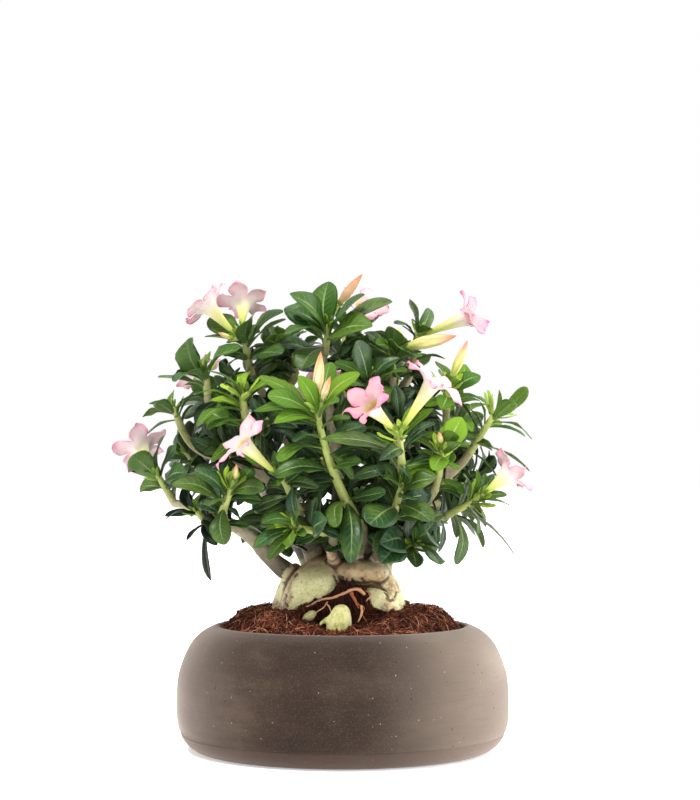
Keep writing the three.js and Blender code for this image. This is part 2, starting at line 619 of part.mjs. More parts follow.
// The green stalk that carries a flower or bud, up to just short of its foot.
function stalk({ base, mouth, end }, shoot) {
  const foot = vec(base);
  const heading = vec(mouth ?? end).sub(foot).normalize();
  const top = foot.clone().addScaledVector(heading, -JOIN_GAP);
  const start = shootCurve(shoot).getPoint(STALK.from);
  const curve = new THREE.QuadraticBezierCurve3(start, top.clone().addScaledVector(heading, -3), top);
  return solidOf(tube(curve, STALK.steps, STALK.sides, (t) => mix(STALK.radius, STALK.endRadius, t)));
}

function shootStem(shoot) {
  const radius = shoot.radius ?? STEM.radius;
  const steps = shoot.bow ? STEM.bowedSteps : 1;
  return solidOf(tube(shootCurve(shoot), steps, STEM.sides, (t) => mix(radius, STEM.tipRadius, t)));
}

// The corolla's rings, from the foot up the outside, over the lobes and down into the throat. A tube ring
// has a radius and a height. A lobe ring has its reach at the middle and at the sides, and its half
// width, as shares of the lobe's length, and how far inside the outer face it lies.
const { wall, mouth: mouthRadius } = FLOWER;
const COROLLA = [
  { radius: 0, height: 0 },
  { radius: FLOWER.base, height: 0 },
  { radius: FLOWER.waist, height: 0.45 },
  { radius: mouthRadius, height: 1 },
  { middle: 0.55, side: 0.5, half: 0.42, inset: 0 },
  { middle: 1, side: 0.86, half: 0.26, inset: 0 },
  { middle: 0.55, side: 0.5, half: 0.42, inset: wall },
  { radius: mouthRadius - wall, height: 1 },
  { radius: 0, height: 0.5 },
];
const TIP_RING = 5;

// The faces of a corolla. A four-cornered face is split along its shorter diagonal, so that a lobe's two
// skins are split alike and never cross. Beside a notch, where a lobe's rings meet in one point, the lobe
// ends in a narrow edge from its outer skin to its inner one.
function corollaFaces({ position }) {
  const { columns, lobes } = FLOWER;
  const perLobe = columns / lobes;
  const corner = (row, column) => row * (columns + 1) + column;
  const spot = (i) => new THREE.Vector3().fromBufferAttribute(position, i);
  const gap = (i, j) => spot(i).distanceTo(spot(j));
  const order = [];
  for (let row = 0; row < COROLLA.length - 1; row += 1) {
    for (let column = 0; column < columns; column += 1) {
      const a = corner(row, column);
      const b = corner(row + 1, column);
      const c = corner(row + 1, column + 1);
      const d = corner(row, column + 1);
      const isBesideNotch = column % perLobe === 0 || (column + 1) % perLobe === 0;
      const isEdge = isBesideNotch && (row === TIP_RING || row === TIP_RING - 1);
      if (isEdge) continue;
      order.push(...(gap(a, c) < gap(b, d) ? [a, b, c, a, c, d] : [a, b, d, b, c, d]));
    }
  }
  const rings = [TIP_RING - 1, TIP_RING, TIP_RING + 1];
  for (let column = 0; column < columns; column += perLobe) {
    const [outer, tip, inner] = rings.map((row) => corner(row, column + 1));
    order.push(inner, tip, outer, corner(TIP_RING, column), inner, outer);
    const end = column + perLobe;
    const [endOuter, endTip, endInner] = rings.map((row) => corner(row, end - 1));
    order.push(endOuter, endTip, endInner, endOuter, endInner, corner(TIP_RING, end));
  }
  return order;
}

// A corolla: a tube that widens to a mouth, five lobes that lean out from it, and a hollow throat.
function flower({ base, mouth, size, open, curl, spin }) {
  const axis = vec(mouth).sub(vec(base));
  const length = axis.length();
  axis.normalize();
  const east = UP.clone().cross(axis).normalize();
  const north = axis.clone().cross(east);
  const ray = (angle) => (
    east.clone().multiplyScalar(Math.cos(angle)).addScaledVector(north, Math.sin(angle))
  );
  const perLobe = FLOWER.columns / FLOWER.lobes;
  const rimRing = COROLLA[3];

  function tubePoint({ radius, height }, column) {
    const angle = radians(spin) + (2 * Math.PI * column) / FLOWER.columns;
    return vec(base).addScaledVector(axis, length * height).addScaledVector(ray(angle), radius);
  }
  function lobePoint({ middle, side, half, inset }, column) {
    const place = (column % perLobe) - perLobe / 2;
    const along = place === 0 ? middle : side;
    const angle = radians(spin) + (2 * Math.PI * (Math.floor(column / perLobe) + 0.5)) / FLOWER.lobes;
    const lean = radians(open + curl * along);
    const out = size * along * Math.sin(lean) + mouthRadius - inset * Math.cos(lean);
    const forward = size * along * Math.cos(lean) + inset * Math.sin(lean);
    return vec(mouth).addScaledVector(ray(angle), out).addScaledVector(axis, forward)
      .addScaledVector(ray(angle + Math.PI / 2), size * half * place);
  }
  const skin = spindle(FLOWER.columns, COROLLA.length, (row, column) => {
    const ring = COROLLA[row];
    if ('radius' in ring) return tubePoint(ring, column);
    return column % perLobe === 0 ? tubePoint(rimRing, column) : lobePoint(ring, column);
  });
  skin.setIndex(corollaFaces(skin.attributes));
  return solidOf(skin);
}

// A closed bud: a twisted spindle.
function bud({ base, end, radius }) {
  const axis = vec(end).sub(vec(base));
  const length = axis.length();
  axis.normalize();
  const east = new THREE.Vector3(0, 1, 0).cross(axis).normalize();
  const north = axis.clone().cross(east);
  const rings = [
    [0, 0], [BUD.base, 0], [radius, 0.35], [radius * 0.86, 0.66], [radius * 0.4, 0.88], [0, 1],
  ];
  return solidOf(spindle(BUD.sides, rings.length, (row, column) => {
    const [r, height] = rings[row];
    const angle = (2 * Math.PI * column) / BUD.sides + radians(BUD.twist) * height;
    return vec(base).addScaledVector(axis, length * height)
      .addScaledVector(east, r * Math.cos(angle)).addScaledVector(north, r * Math.sin(angle));
  }));
}

// Each node's solid and material. Wood, flowers and stems come first, and then the leaves find room.
const nodes = {};
function addNode(name, solid, material) {
  nodes[name] = { solid, material };
}

const wood = [caudex(0), ...Object.values(LIMBS).map(limb), ...SHOOTS.filter((s) => s.from).map(twig)];
addNode('bowl', bowl(), MATERIALS.clay);
addNode('soil', soil(caudex(SEAT_GAP)), MATERIALS.coir);
addNode('caudex_and_branches', oneBody(join(wood)), MATERIALS.bark);
FLOWERS.forEach((spec) => addNode(spec.name, flower(spec), MATERIALS.petal));
BUDS.forEach((spec) => addNode(spec.name, bud(spec), MATERIALS.bud));
Object.entries(nodes).forEach(([name, { solid }]) => addObstacle(solid, name));

const stems = SHOOTS.map((shoot) => {
  const borne = [...FLOWERS, ...BUDS].filter((spec) => spec.on === shoot.name);
  return [shootStem(shoot), ...borne.map((spec) => stalk(spec, shoot))];
});
SHOOTS.forEach((shoot, number) => stems[number].forEach((solid) => addObstacle(solid, shoot.name)));
SHOOTS.forEach((shoot, number) => {
  const solid = oneBody(join([...stems[number], ...placedLeaves(shoot, number)]));
  addNode(shoot.name, solid, shoot.young ? MATERIALS.youngLeaf : MATERIALS.leaf);
});

const plant = new THREE.Group();
for (const [name, { solid, material }] of Object.entries(nodes)) {
  const { vertProperties, triVerts } = solid.getMesh();
  const geometry = new THREE.BufferGeometry();
  geometry.setAttribute('position', new THREE.BufferAttribute(vertProperties, 3));
  geometry.setIndex(new THREE.BufferAttribute(triVerts, 1));
  geometry.computeVertexNormals();
  const mesh = new THREE.Mesh(geometry, new THREE.MeshStandardMaterial({ ...material, metalness: 0 }));
  mesh.name = name;
  plant.add(mesh);
}

export default plant;
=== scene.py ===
"""The looks of a potted desert rose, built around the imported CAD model.

Lengths are in millimetres until a mesh is made, and the plant's front faces -Y. The shoots, limbs,
flowers and buds repeat the values and rules of the CAD source, so each fine piece keeps the form of
the solid that it stands for. A few values differ from the source by a few millimetres or degrees, to
come closer to the photograph: the front tuber's shape, the feet of three limbs, the lean of two
flowers and the width of some leaves.
"""
import math

import bmesh
import bpy
import numpy as np
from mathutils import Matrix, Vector
from mathutils.kdtree import KDTree


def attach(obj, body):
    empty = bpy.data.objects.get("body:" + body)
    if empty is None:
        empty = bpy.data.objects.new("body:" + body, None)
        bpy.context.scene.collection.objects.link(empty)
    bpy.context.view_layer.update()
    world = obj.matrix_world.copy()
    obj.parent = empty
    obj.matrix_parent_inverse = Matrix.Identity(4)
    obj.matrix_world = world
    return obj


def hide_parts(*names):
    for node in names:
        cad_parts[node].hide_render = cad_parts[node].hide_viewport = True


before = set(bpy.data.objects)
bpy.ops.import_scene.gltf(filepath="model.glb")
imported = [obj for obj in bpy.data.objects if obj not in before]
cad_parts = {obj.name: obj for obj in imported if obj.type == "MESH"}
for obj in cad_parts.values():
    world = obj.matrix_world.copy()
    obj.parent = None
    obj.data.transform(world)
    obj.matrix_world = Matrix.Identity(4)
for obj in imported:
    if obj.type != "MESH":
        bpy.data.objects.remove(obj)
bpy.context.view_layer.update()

MM = 0.001
UP = np.array([0.0, 0.0, 1.0])
NORTH = np.array([0.0, 1.0, 0.0])
SEED = 20  # the CAD source's own seed
CHANCE = np.random.default_rng(11)

# The photograph's camera, and its picture: 700 by 800 pixels
CAMERA = dict(x=6.4, distance=1800.0, height=253.0, aim=295.6, lens=95.2, sensor=36.0)
PIXEL_FOCUS = 2115.0
PICTURE_CENTRE = (350.0, 450.0)  # the pixel that the level line of sight goes through

# Values that the CAD source has too
SOIL = dict(edge=101.0, mound=17.0, mound_width=30.0, reach=103.0)
HOLLOW = dict(x=-2.0, y=-72.0, depth=14.0, across=28.0, deep=20.0)
STEM_RADIUS, STEM_TIP = 3.5, 2.3
STALK_FROM, STALK_RADIUS, STALK_END = 0.85, 1.5, 2.2
LEAF_BULGE, LEAF_TAPER, LEAF_ARCH = 1.5, 0.55, 0.09
LEAF_TURN = 137.5  # degrees from one leaf to the next
LONGEST_LEAF = 52.0
TRIES = 14
JOIN_GAP = 0.3
LIMB_LEAD = 9.0  # the last straight stretch of a limb, below its shoot

LOBES = [
    dict(centre=(2, 2, 150), radii=(34, 26, 17), turn=0),
    dict(centre=(-21, -20, 120), radii=(31, 33, 44), turn=12),
    dict(centre=(-47, 2, 118), radii=(13, 24, 40), turn=12),
    dict(centre=(31, -6, 122), radii=(22, 26, 36), turn=-14),
    dict(centre=(31, -36, 122), radii=(20, 15, 14), turn=40),
    dict(centre=(-18, 28, 118), radii=(34, 24, 40), turn=0),
    dict(centre=(24, 26, 116), radii=(28, 24, 38), turn=0),
    dict(centre=(14, -26, 151), radii=(26, 18, 11), turn=0),
    dict(centre=(-3, -76, 107), radii=(10.2, 10.5, 21), turn=8, young=1, square=0.85),
    dict(centre=(-27, -65, 117), radii=(7, 4.4, 4.4), turn=-35, young=1),
]
ROOTS = [
    dict(points=[(-4, -76, 98), (-2, -50, 92), (0, -20, 100)], radii=(6, 9), young=0),
    dict(points=[(-26, -64, 114), (-24, -50, 104), (-20, -30, 104)], radii=(3.4, 5), young=0),
    dict(points=[(-4, -76, 117), (-12, -77, 116), (-19, -80, 111)], radii=(3.0, 1.5), young=1),
    dict(points=[(5, -24, 149), (4, -42, 145), (3, -52, 137)], radii=(3.4, 2.4), young=0),
]
LIMBS = {
    "front": ("front_stem", 7, [(8, -12, 152), (13, -34, 170)]),
    "leftLow": ("far_left", 8, [(-30, -8, 138), (-56, -15, 158), (-82, -24, 184),
                                (-110, -28, 199), (-133, -28, 208)]),
    "leftUp": ("left_upper", 8, [(-18, 4, 152), (-40, 5, 195), (-72, 0, 240), (-98, -8, 276)]),
    "centreLeft": ("top_left", 7.5, [(-6, 8, 156), (-24, 12, 208), (-45, 13, 258), (-66, 10, 298)]),
    "centre": ("top_centre", 8, [(2, 0, 158), (-2, -2, 216), (-9, -4, 276), (-14, -7, 316)]),
    "rightCentre": ("upper_right", 8, [(16, 4, 156), (27, 0, 204), (37, -6, 250), (41, -11, 292)]),
    "right": ("far_right", 8.5, [(30, -4, 146), (44, -18, 188), (62, -22, 205), (84, -22, 228)]),
    "rightFront": ("low_right", 6, [(22, -16, 148), (31, -34, 166)]),
    "lowFront": ("low_centre", 6, [(-4, -18, 152), (-9, -46, 170)]),
    "backLeft": ("back_left", 8, [(-20, 20, 146), (-48, 40, 188), (-78, 55, 232)]),
    "back": ("back_centre", 7.5, [(0, 24, 152), (-4, 46, 196), (-6, 68, 230)]),
    "backRight": ("back_right", 8, [(22, 20, 146), (46, 40, 186), (70, 54, 228)]),
}


def shoot(name, base, tip, ruled, size, slim, aimed=(), at=None, **more):
    """One leafy shoot. `at` names the limb that its twig leaves, and how far along."""
    made = dict(name=name, base=np.array(base, float), tip=np.array(tip, float), ruled=ruled,
                size=size, slim=slim, aimed=aimed, at=at, bow=(0, 0, 0), radius=STEM_RADIUS, young=0)
    made.update(more)
    return made


SHOOTS = [
    shoot("top_centre", (-15, -8, 335), (-11, -15, 361), 1, 50, 0.5,
          [(-40, -35, 386), (-14, -8, 396), (15, -38, 383), (43, -18, 377), (23, -50, 358),
           (-43, -5, 371), (-48, 8, 394), (-34, -40, 323)]),
    shoot("top_left", (-79, 5, 324), (-85, 0, 353), 1, 42, 0.46,
          [(-52, -25, 371), (-49, 22, 366), (-50, -30, 333), (-106, -20, 374), (-78, -30, 367),
           (-118, 5, 349), (-96, -20, 325)]),
    shoot("left_upper", (-114, -12, 302), (-116, -15, 322), 2, 40, 0.54,
          [(-130, -35, 344), (-89, -35, 341), (-116, 5, 337), (-155, -25, 314), (-132, 20, 315)]),
    shoot("left_bud", (-80, -52, 281), (-83, -60, 302), 2, 40, 0.4,
          [(-107, -80, 320), (-121, -72, 303), (-52, -75, 311), (-119, -85, 277), (-80, -50, 318)],
          at=("leftUp", 0.55), young=1),
    shoot("left_rim", (-137, 0, 272), (-144, 0, 290), 3, 32, 0.44,
          [(-158, -18, 294), (-146, 8, 305), (-120, -12, 304)], at=("leftUp", 0.48)),
    shoot("far_left", (-145, -26, 216), (-155, -30, 233), 2, 38, 0.5,
          [(-150, -45, 265), (-176, -38, 249), (-171, -12, 221), (-131, -8, 247), (-127, -52, 229)]),
    shoot("low_left_bud", (-98, -68, 202), (-89, -80, 225), 1, 38, 0.48,
          [(-117, -100, 238), (-136, -85, 228), (-64, -104, 224), (-74, -62, 238),
           (-107, -105, 211), (-96, -90, 178), (-83, -60, 195)], at=("leftLow", 0.5), young=1),
    shoot("front_stem", (13, -55, 194), (-21, -100, 290), 1, 40, 0.36,
          [(-64, -95, 316), (-33, -118, 311), (-59, -122, 296), (-71, -90, 289), (-54, -125, 274),
           (-9, -82, 324), (10, -115, 316), (-3, -135, 293), (-51, -120, 248), (16, -112, 243),
           (-56, -85, 238), (36, -88, 218), (-6, -112, 197), (6, -108, 167)],
          bow=(-9, -6, -6), radius=4.6, young=1),
    shoot("low_centre", (-16, -72, 186), (-43, -88, 191), 1, 36, 0.44,
          [(-63, -108, 197), (-71, -104, 178), (-41, -80, 223), (-13, -118, 198), (-43, -112, 180),
           (-35, -108, 203), (-61, -92, 167)], young=1),
    shoot("centre_right", (24, -38, 295), (21, -45, 316), 2, 40, 0.48,
          [(13, -62, 343), (52, -70, 319), (46, -48, 331), (-2, -70, 310)], at=("rightCentre", 0.7)),
    shoot("upper_right", (42, -15, 321), (41, -20, 340), 1, 34, 0.5,
          [(45, -42, 355), (50, -48, 344), (32, -48, 343), (61, -50, 332), (21, 0, 354)], young=1),
    shoot("top_right", (62, 8, 337), (64, 5, 356), 2, 30, 0.44,
          [(57, -8, 381), (46, -12, 363), (65, -8, 369), (76, 18, 374)], at=("rightCentre", 0.72)),
    shoot("right_bud", (87, -28, 287), (89, -35, 309), 2, 38, 0.44,
          [(81, -58, 318), (119, -60, 296), (105, -10, 326), (116, -25, 317), (80, -15, 329)],
          at=("right", 0.75), young=1),
    shoot("far_right", (107, -20, 251), (130, -25, 287), 1, 40, 0.3,
          [(130, -42, 303), (155, -35, 306), (142, -58, 294), (144, 2, 285), (160, -30, 266),
           (123, -58, 255), (157, -25, 235)], young=1),
    shoot("centre_flowers", (48, -90, 243), (46, -105, 267), 3, 44, 0.3,
          [(-17, -128, 261), (67, -82, 269), (32, -140, 248)], at=("rightCentre", 0.3), young=1),
    shoot("right_mid", (79, -64, 233), (82, -75, 256), 3, 34, 0.5,
          [(55, -85, 275), (101, -98, 258), (87, -95, 268), (98, -60, 280)],
          at=("right", 0.45), young=1),
    shoot("low_right_flower", (87, -45, 199), (112, -60, 213), 0, 40, 0.27,
          [(137, -78, 207), (137, -40, 216), (118, -85, 199), (141, -62, 166), (113, -80, 186),
           (116, -75, 233), (99, -85, 233), (128, -45, 233), (96, -70, 161)],
          at=("right", 0.35), young=1),
    shoot("right_inner", (42, -72, 201), (49, -90, 227), 3, 38, 0.52,
          [(51, -112, 239), (65, -112, 231), (22, -118, 195), (71, -112, 196)], at=("rightFront", 0.4)),
    shoot("low_right", (46, -38, 170), (60, -62, 176), 2, 34, 0.54,
          [(31, -98, 162), (80, -85, 163), (60, -75, 157), (74, -98, 186), (23, -92, 180)]),
    shoot("mid_left", (-41, 22, 320), (-43, 20, 342), 7, 42, 0.46, at=("centreLeft", 0.8)),
    shoot("centre_dark", (5, -2, 283), (8, -6, 306), 7, 42, 0.42, at=("centre", 0.55)),
    shoot("left_low_back", (-124, 35, 236), (-137, 35, 253), 6, 40, 0.52, [(-134, 5, 274)],
          at=("leftUp", 0.4)),
    shoot("low_left", (-110, -42, 190), (-121, -50, 203), 5, 38, 0.42,
          [(-108, -50, 145), (-129, -50, 179)], at=("leftLow", 0.55)),
    shoot("right_dark", (67, 25, 275), (71, 25, 300), 7, 42, 0.44, at=("rightCentre", 0.5)),
    shoot("left_inner", (-39, -58, 210), (-50, -75, 233), 6, 40, 0.42, at=("centreLeft", 0.25)),
    shoot("right_low_back", (84, 20, 194), (97, 25, 210), 6, 40, 0.42, at=("right", 0.4)),
    shoot("back_top", (2, 50, 329), (2, 55, 356), 7, 44, 0.48, at=("centre", 0.75)),
    shoot("back_top_left", (-48, 65, 319), (-56, 75, 342), 7, 42, 0.46, at=("centreLeft", 0.7)),
    shoot("back_left", (-101, 70, 275), (-114, 80, 297), 7, 42, 0.48),
    shoot("back_left_low", (-113, 65, 218), (-131, 80, 235), 6, 40, 0.46, at=("backLeft", 0.6)),
    shoot("back_centre", (-7, 92, 249), (-12, 112, 280), 8, 44, 0.46),
    shoot("back_right_top", (46, 68, 306), (51, 78, 333), 7, 42, 0.48, at=("rightCentre", 0.62)),
    shoot("back_right", (90, 66, 262), (104, 78, 284), 7, 42, 0.44),
    shoot("back_right_low", (90, 66, 209), (109, 82, 226), 6, 40, 0.42, at=("backRight", 0.55)),
    shoot("back_low_left", (-52, 86, 189), (-66, 108, 208), 7, 40, 0.46, at=("backLeft", 0.35)),
    shoot("back_low_right", (33, 86, 187), (38, 108, 208), 7, 40, 0.46, at=("backRight", 0.3)),
]
SHOOT_NAMED = {s["name"]: s for s in SHOOTS}

# name, shoot, foot, mouth, lobe length, lean, curl, spin, and how pink it is
FLOWERS = [
    ("flower_top_left", "top_left", (-91, -6, 351), (-113, 0, 374), 19, 38, 26, 10, 0.3),
    ("flower_top_left_back", "top_left", (-86, 8, 358), (-86, 24, 378), 18, 42, 24, 40, 0.4),
    ("flower_top_right", "top_right", (69, -2, 351), (102, -16, 364), 19, 16, 28, 8, 0.85),
    ("flower_centre_open", "centre_flowers", (48, -110, 270), (71, -118, 305), 23, 44, 34, 24, 0.4),
    ("flower_centre_pink", "centre_flowers", (42, -112, 269), (24, -132, 286), 19, 12, 28, 50, 0.95),
    ("flower_left", "left_inner", (-54, -82, 234), (-79, -96, 258), 22, 46, 30, 5, 0.4),
    ("flower_far_left", "far_left", (-160, -22, 236), (-170, -4, 254), 19, 46, 22, 30, 0.35),
    ("flower_low_right", "low_right_flower", (116, -62, 217), (134, -58, 231), 19, 26, 26, 0, 0.5),
    ("flower_top_back", "back_top", (8, 46, 361), (17, 31, 376), 17, 40, 24, 18, 0.4),
    ("flower_back_centre", "back_centre", (-13, 112, 284), (-20, 128, 306), 20, 42, 28, 12, 0.5),
    ("flower_back_left", "back_left", (-116, 82, 300), (-128, 92, 319), 19, 40, 28, 33, 0.4),
]
# name, shoot, foot, point, radius, and how green it still is
BUDS = [
    ("bud_top", "top_centre", (-4, -6, 376), (17, 0, 403), 4, -0.8),
    ("bud_front_tall", "front_stem", (-20, -104, 294), (-17, -110, 332), 4.4, 0.1),
    ("bud_front_short", "front_stem", (-16, -106, 292), (-9, -119, 312), 2.8, 0.0),
    ("bud_right_long", "upper_right", (52, -28, 339), (95, -44, 348), 5.4, 0.75),
    ("bud_right_tall", "right_bud", (91, -38, 312), (104, -46, 344), 3.9, 0.95),
    ("bud_low_left", "low_left_bud", (-87, -85, 228), (-85, -92, 242), 2.3, 0.6),
    ("bud_right_small", "right_mid", (81, -80, 258), (78, -90, 268), 2.3, 0.8),
    ("bud_left_small", "top_left", (-93, -10, 347), (-105, -18, 352), 2.2, 0.9),
]

# Where the photograph shows dense foliage, in its pixels, clockwise from the left
CROWN_OUTLINE = [
    (174, 408), (186, 378), (196, 348), (222, 340), (240, 318), (286, 310), (298, 288), (350, 287),
    (386, 304), (402, 330), (432, 318), (446, 336), (470, 354), (494, 396), (506, 420), (494, 442),
    (500, 470), (488, 502), (468, 520), (448, 556), (400, 562), (352, 560), (296, 560), (262, 550),
    (226, 540), (192, 518), (168, 490), (164, 450), (176, 430),
]


# The mixing numbers of the two repeatable draws: of smooth noise, and of the CAD source
NOISE_PRIMES, NOISE_MIX = (73856093, 19349663, 83492791), 1274126177
DRAW_MIX = (0x9E3779B1, 0x85EBCA6B)
WORD = 0xFFFFFFFF


def unit(v):
    v = np.asarray(v, float)
    return v / np.linalg.norm(v)


def across_from(axis):
    """A steady unit direction across an axis."""
    return unit(np.cross(axis, NORTH if abs(axis[2]) > 0.9 else UP))


def circle(sides):
    """The angles of this many sides."""
    return np.linspace(0, 2 * np.pi, sides, endpoint=False)


def mix(a, b, t):
    return a + (b - a) * t


def smoothstep(t):
    t = np.clip(t, 0, 1)
    return t * t * (3 - 2 * t)


def turned(v, axis, angle):
    """v turned about a unit axis."""
    c, s = math.cos(angle), math.sin(angle)
    return v * c + np.cross(axis, v) * s + axis * np.dot(axis, v) * (1 - c)


def noise(points, size, seed=0):
    """Smooth noise from -1 to 1 at each point, with features about `size` across."""
    p = np.asarray(points, float) / size + 31.7 * seed
    cell = np.floor(p).astype(np.int64)
    f = smoothstep(p - cell)
    total = 0.0
    for dx in (0, 1):
        for dy in (0, 1):
            for dz in (0, 1):
                x, y, z = cell[..., 0] + dx, cell[..., 1] + dy, cell[..., 2] + dz
                h = (x * NOISE_PRIMES[0] ^ y * NOISE_PRIMES[1] ^ z * NOISE_PRIMES[2]) & WORD
                h = ((h ^ (h >> 13)) * NOISE_MIX) & WORD
                h = (h ^ (h >> 16)) & 0xFFFF
                wx = f[..., 0] if dx else 1 - f[..., 0]
                wy = f[..., 1] if dy else 1 - f[..., 1]
                wz = f[..., 2] if dz else 1 - f[..., 2]
                total = total + (h / 32767.5 - 1) * wx * wy * wz
    return total


def layered(points, layers):
    """Several noises on top of one another, each given by its height, its size and its seed."""
    return sum(height * noise(points, size, seed) for height, size, seed in layers)


# Curves

CURVE_STEPS = 200


class Curve:
    """A curve through space, with points and tangents by parameter and by share of its length."""

    def __init__(self, point):
        self.point = point
        samples = np.array([point(t) for t in np.linspace(0, 1, CURVE_STEPS + 1)])
        steps = np.linalg.norm(np.diff(samples, axis=0), axis=1)
        self.lengths = np.concatenate([[0], np.cumsum(steps)])
        self.length = self.lengths[-1]

    def tangent(self, t, delta=1e-4):
        return unit(self.point(min(1, t + delta)) - self.point(max(0, t - delta)))

    def parameter(self, share):
        return np.interp(share * self.length, self.lengths, np.linspace(0, 1, len(self.lengths)))

    def point_at(self, share):
        return self.point(self.parameter(share))

    def tangent_at(self, share):
        return self.tangent(self.parameter(share))

    def line(self, shares):
        return np.array([self.point_at(t) for t in shares])


def bezier(*controls):
    controls = [np.asarray(c, float) for c in controls]
    degree = len(controls) - 1
    weights = [math.comb(degree, i) for i in range(degree + 1)]
    return Curve(lambda t: sum(w * (1 - t) ** (degree - i) * t ** i * c
                               for i, (w, c) in enumerate(zip(weights, controls))))


def catmull(points):
    """The centripetal Catmull-Rom curve through the points."""
    p = [np.asarray(q, float) for q in points]
    p = [2 * p[0] - p[1]] + p + [2 * p[-1] - p[-2]]
    spans = len(p) - 3

    def point(t):
        place = t * spans
        i = min(int(place), spans - 1)
        w = place - i
        a, b, c, d = p[i:i + 4]
        d0, d1, d2 = (max(np.linalg.norm(u - v), 1e-8) ** 0.5 for u, v in ((b, a), (c, b), (d, c)))
        m0 = ((b - a) / d0 - (c - a) / (d0 + d1) + (c - b) / d1) * d1
        m1 = ((c - b) / d1 - (d - b) / (d1 + d2) + (d - c) / d2) * d1
        return (b + m0 * w + (-3 * b + 3 * c - 2 * m0 - m1) * w ** 2
                + (2 * b - 2 * c + m0 + m1) * w ** 3)

    return Curve(point)


def shoot_curve(s):
    middle = (s["base"] + s["tip"]) / 2 + np.array(s["bow"], float)
    return bezier(s["base"], middle, s["tip"])


def limb_curve(name):
    to, _, points = LIMBS[name]
    s = SHOOT_NAMED[to]
    heading = s["curve"].tangent(0)
    end = s["base"] - heading * JOIN_GAP
    return catmull([*points, end - heading * LIMB_LEAD, end])


def twig_curve(s):
    parent, share = LIMB_CURVES[s["at"][0]], s["at"][1]
    start = parent.point_at(share)
    heading = s["curve"].tangent(0)
    end = s["base"] - heading * JOIN_GAP
    reach = 0.4 * np.linalg.norm(end - start)
    leaving = unit(mix(parent.tangent_at(share), unit(end - start), 0.5))
    return bezier(start, start + leaving * reach, end - heading * reach, end)


for each in SHOOTS:
    each["curve"] = shoot_curve(each)
LIMB_CURVES = {name: limb_curve(name) for name in LIMBS}
for each in SHOOTS:
    bearer = next((n for n, (to, _, _) in LIMBS.items() if to == each["name"]), None)
    each["below"] = twig_curve(each) if each["at"] else LIMB_CURVES[bearer]


# Gathering meshes

class Piece:
    """Gathers closed surfaces into one mesh. `tint` and `place` reach the materials as attributes."""

    def __init__(self):
        self.verts, self.tints, self.places = [], [], []
        self.faces = {3: [], 4: []}
        self.slots = {3: [], 4: []}
        self.count = 0

    def add(self, verts, quads, tris=None, material=0, tint=(0, 0, 0), place=None):
        verts = np.asarray(verts, float).reshape(-1, 3)
        for sides, faces in ((4, quads), (3, tris)):
            if faces is not None and len(faces):
                self.faces[sides].append(np.asarray(faces) + self.count)
                self.slots[sides].append(np.full(len(faces), material))
        self.verts.append(verts)
        self.tints.append(np.broadcast_to(np.asarray(tint, float), verts.shape))
        self.places.append(np.zeros_like(verts) if place is None else np.asarray(place).reshape(-1, 3))
        self.count += len(verts)

    def object(self, name, *materials):
        mesh = bpy.data.meshes.new(name)
        verts = np.concatenate(self.verts) * MM
        groups = [(n, np.concatenate(self.faces[n]), np.concatenate(self.slots[n]))
                  for n in (3, 4) if self.faces[n]]
        loops = np.concatenate([faces.reshape(-1) for _, faces, _ in groups])
        sizes = np.concatenate([np.full(len(faces), n) for n, faces, _ in groups])
        mesh.vertices.add(len(verts))
        mesh.vertices.foreach_set("co", verts.reshape(-1))
        mesh.loops.add(len(loops))
        mesh.loops.foreach_set("vertex_index", loops.astype(np.int32))
        mesh.polygons.add(len(sizes))
        mesh.polygons.foreach_set("loop_start", (np.cumsum(sizes) - sizes).astype(np.int32))
        mesh.polygons.foreach_set("loop_total", sizes.astype(np.int32))
        mesh.polygons.foreach_set("material_index",
                                  np.concatenate([s for _, _, s in groups]).astype(np.int32))
        mesh.update(calc_edges=True)
        set_attribute(mesh, "tint", np.concatenate(self.tints))
        set_attribute(mesh, "place", np.concatenate(self.places))
        work = bmesh.new()
        work.from_mesh(mesh)
        bmesh.ops.recalc_face_normals(work, faces=work.faces)
        work.to_mesh(mesh)
        work.free()
        mesh.shade_smooth()
        for material in materials:
            mesh.materials.append(MATERIAL[material])
        made = bpy.data.objects.new(name, mesh)
        bpy.context.scene.collection.objects.link(made)
        return made


def set_attribute(mesh, name, values):
    attribute = mesh.attributes.new(name, "FLOAT_VECTOR", "POINT")
    attribute.data.foreach_set("vector", np.ascontiguousarray(values, np.float32).reshape(-1))


def hand_over(made, slot, *nodes):
    """The piece rides on the plant's one body, and stands for these CAD nodes."""
    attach(made, "root")
    if nodes:
        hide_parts(*nodes)


def grid_quads(rows, cols, wrap=False):
    i, j = np.meshgrid(np.arange(rows - 1), np.arange(cols if wrap else cols - 1), indexing="ij")
    k = (j + 1) % cols
    quads = [i * cols + j, i * cols + k, (i + 1) * cols + k, (i + 1) * cols + j]
    return np.stack(quads, -1).reshape(-1, 4)


def end_fans(count, sides):
    """Triangles from the first and the last ring, of `count` vertices in all, to two points after."""
    around = np.arange(sides)
    after = (around + 1) % sides
    last = count - sides
    return np.concatenate([
        np.stack([np.full(sides, count), after, around], -1),
        np.stack([np.full(sides, count + 1), last + around, last + after], -1),
    ])


def add_rings(piece, rings, first, last, **more):
    """A closed skin over a stack of rings, drawn together at a point at either end."""
    n, sides = rings.shape[:2]
    verts = np.concatenate([rings.reshape(-1, 3), [first, last]])
    piece.add(verts, grid_quads(n, sides, wrap=True), end_fans(n * sides, sides), **more)


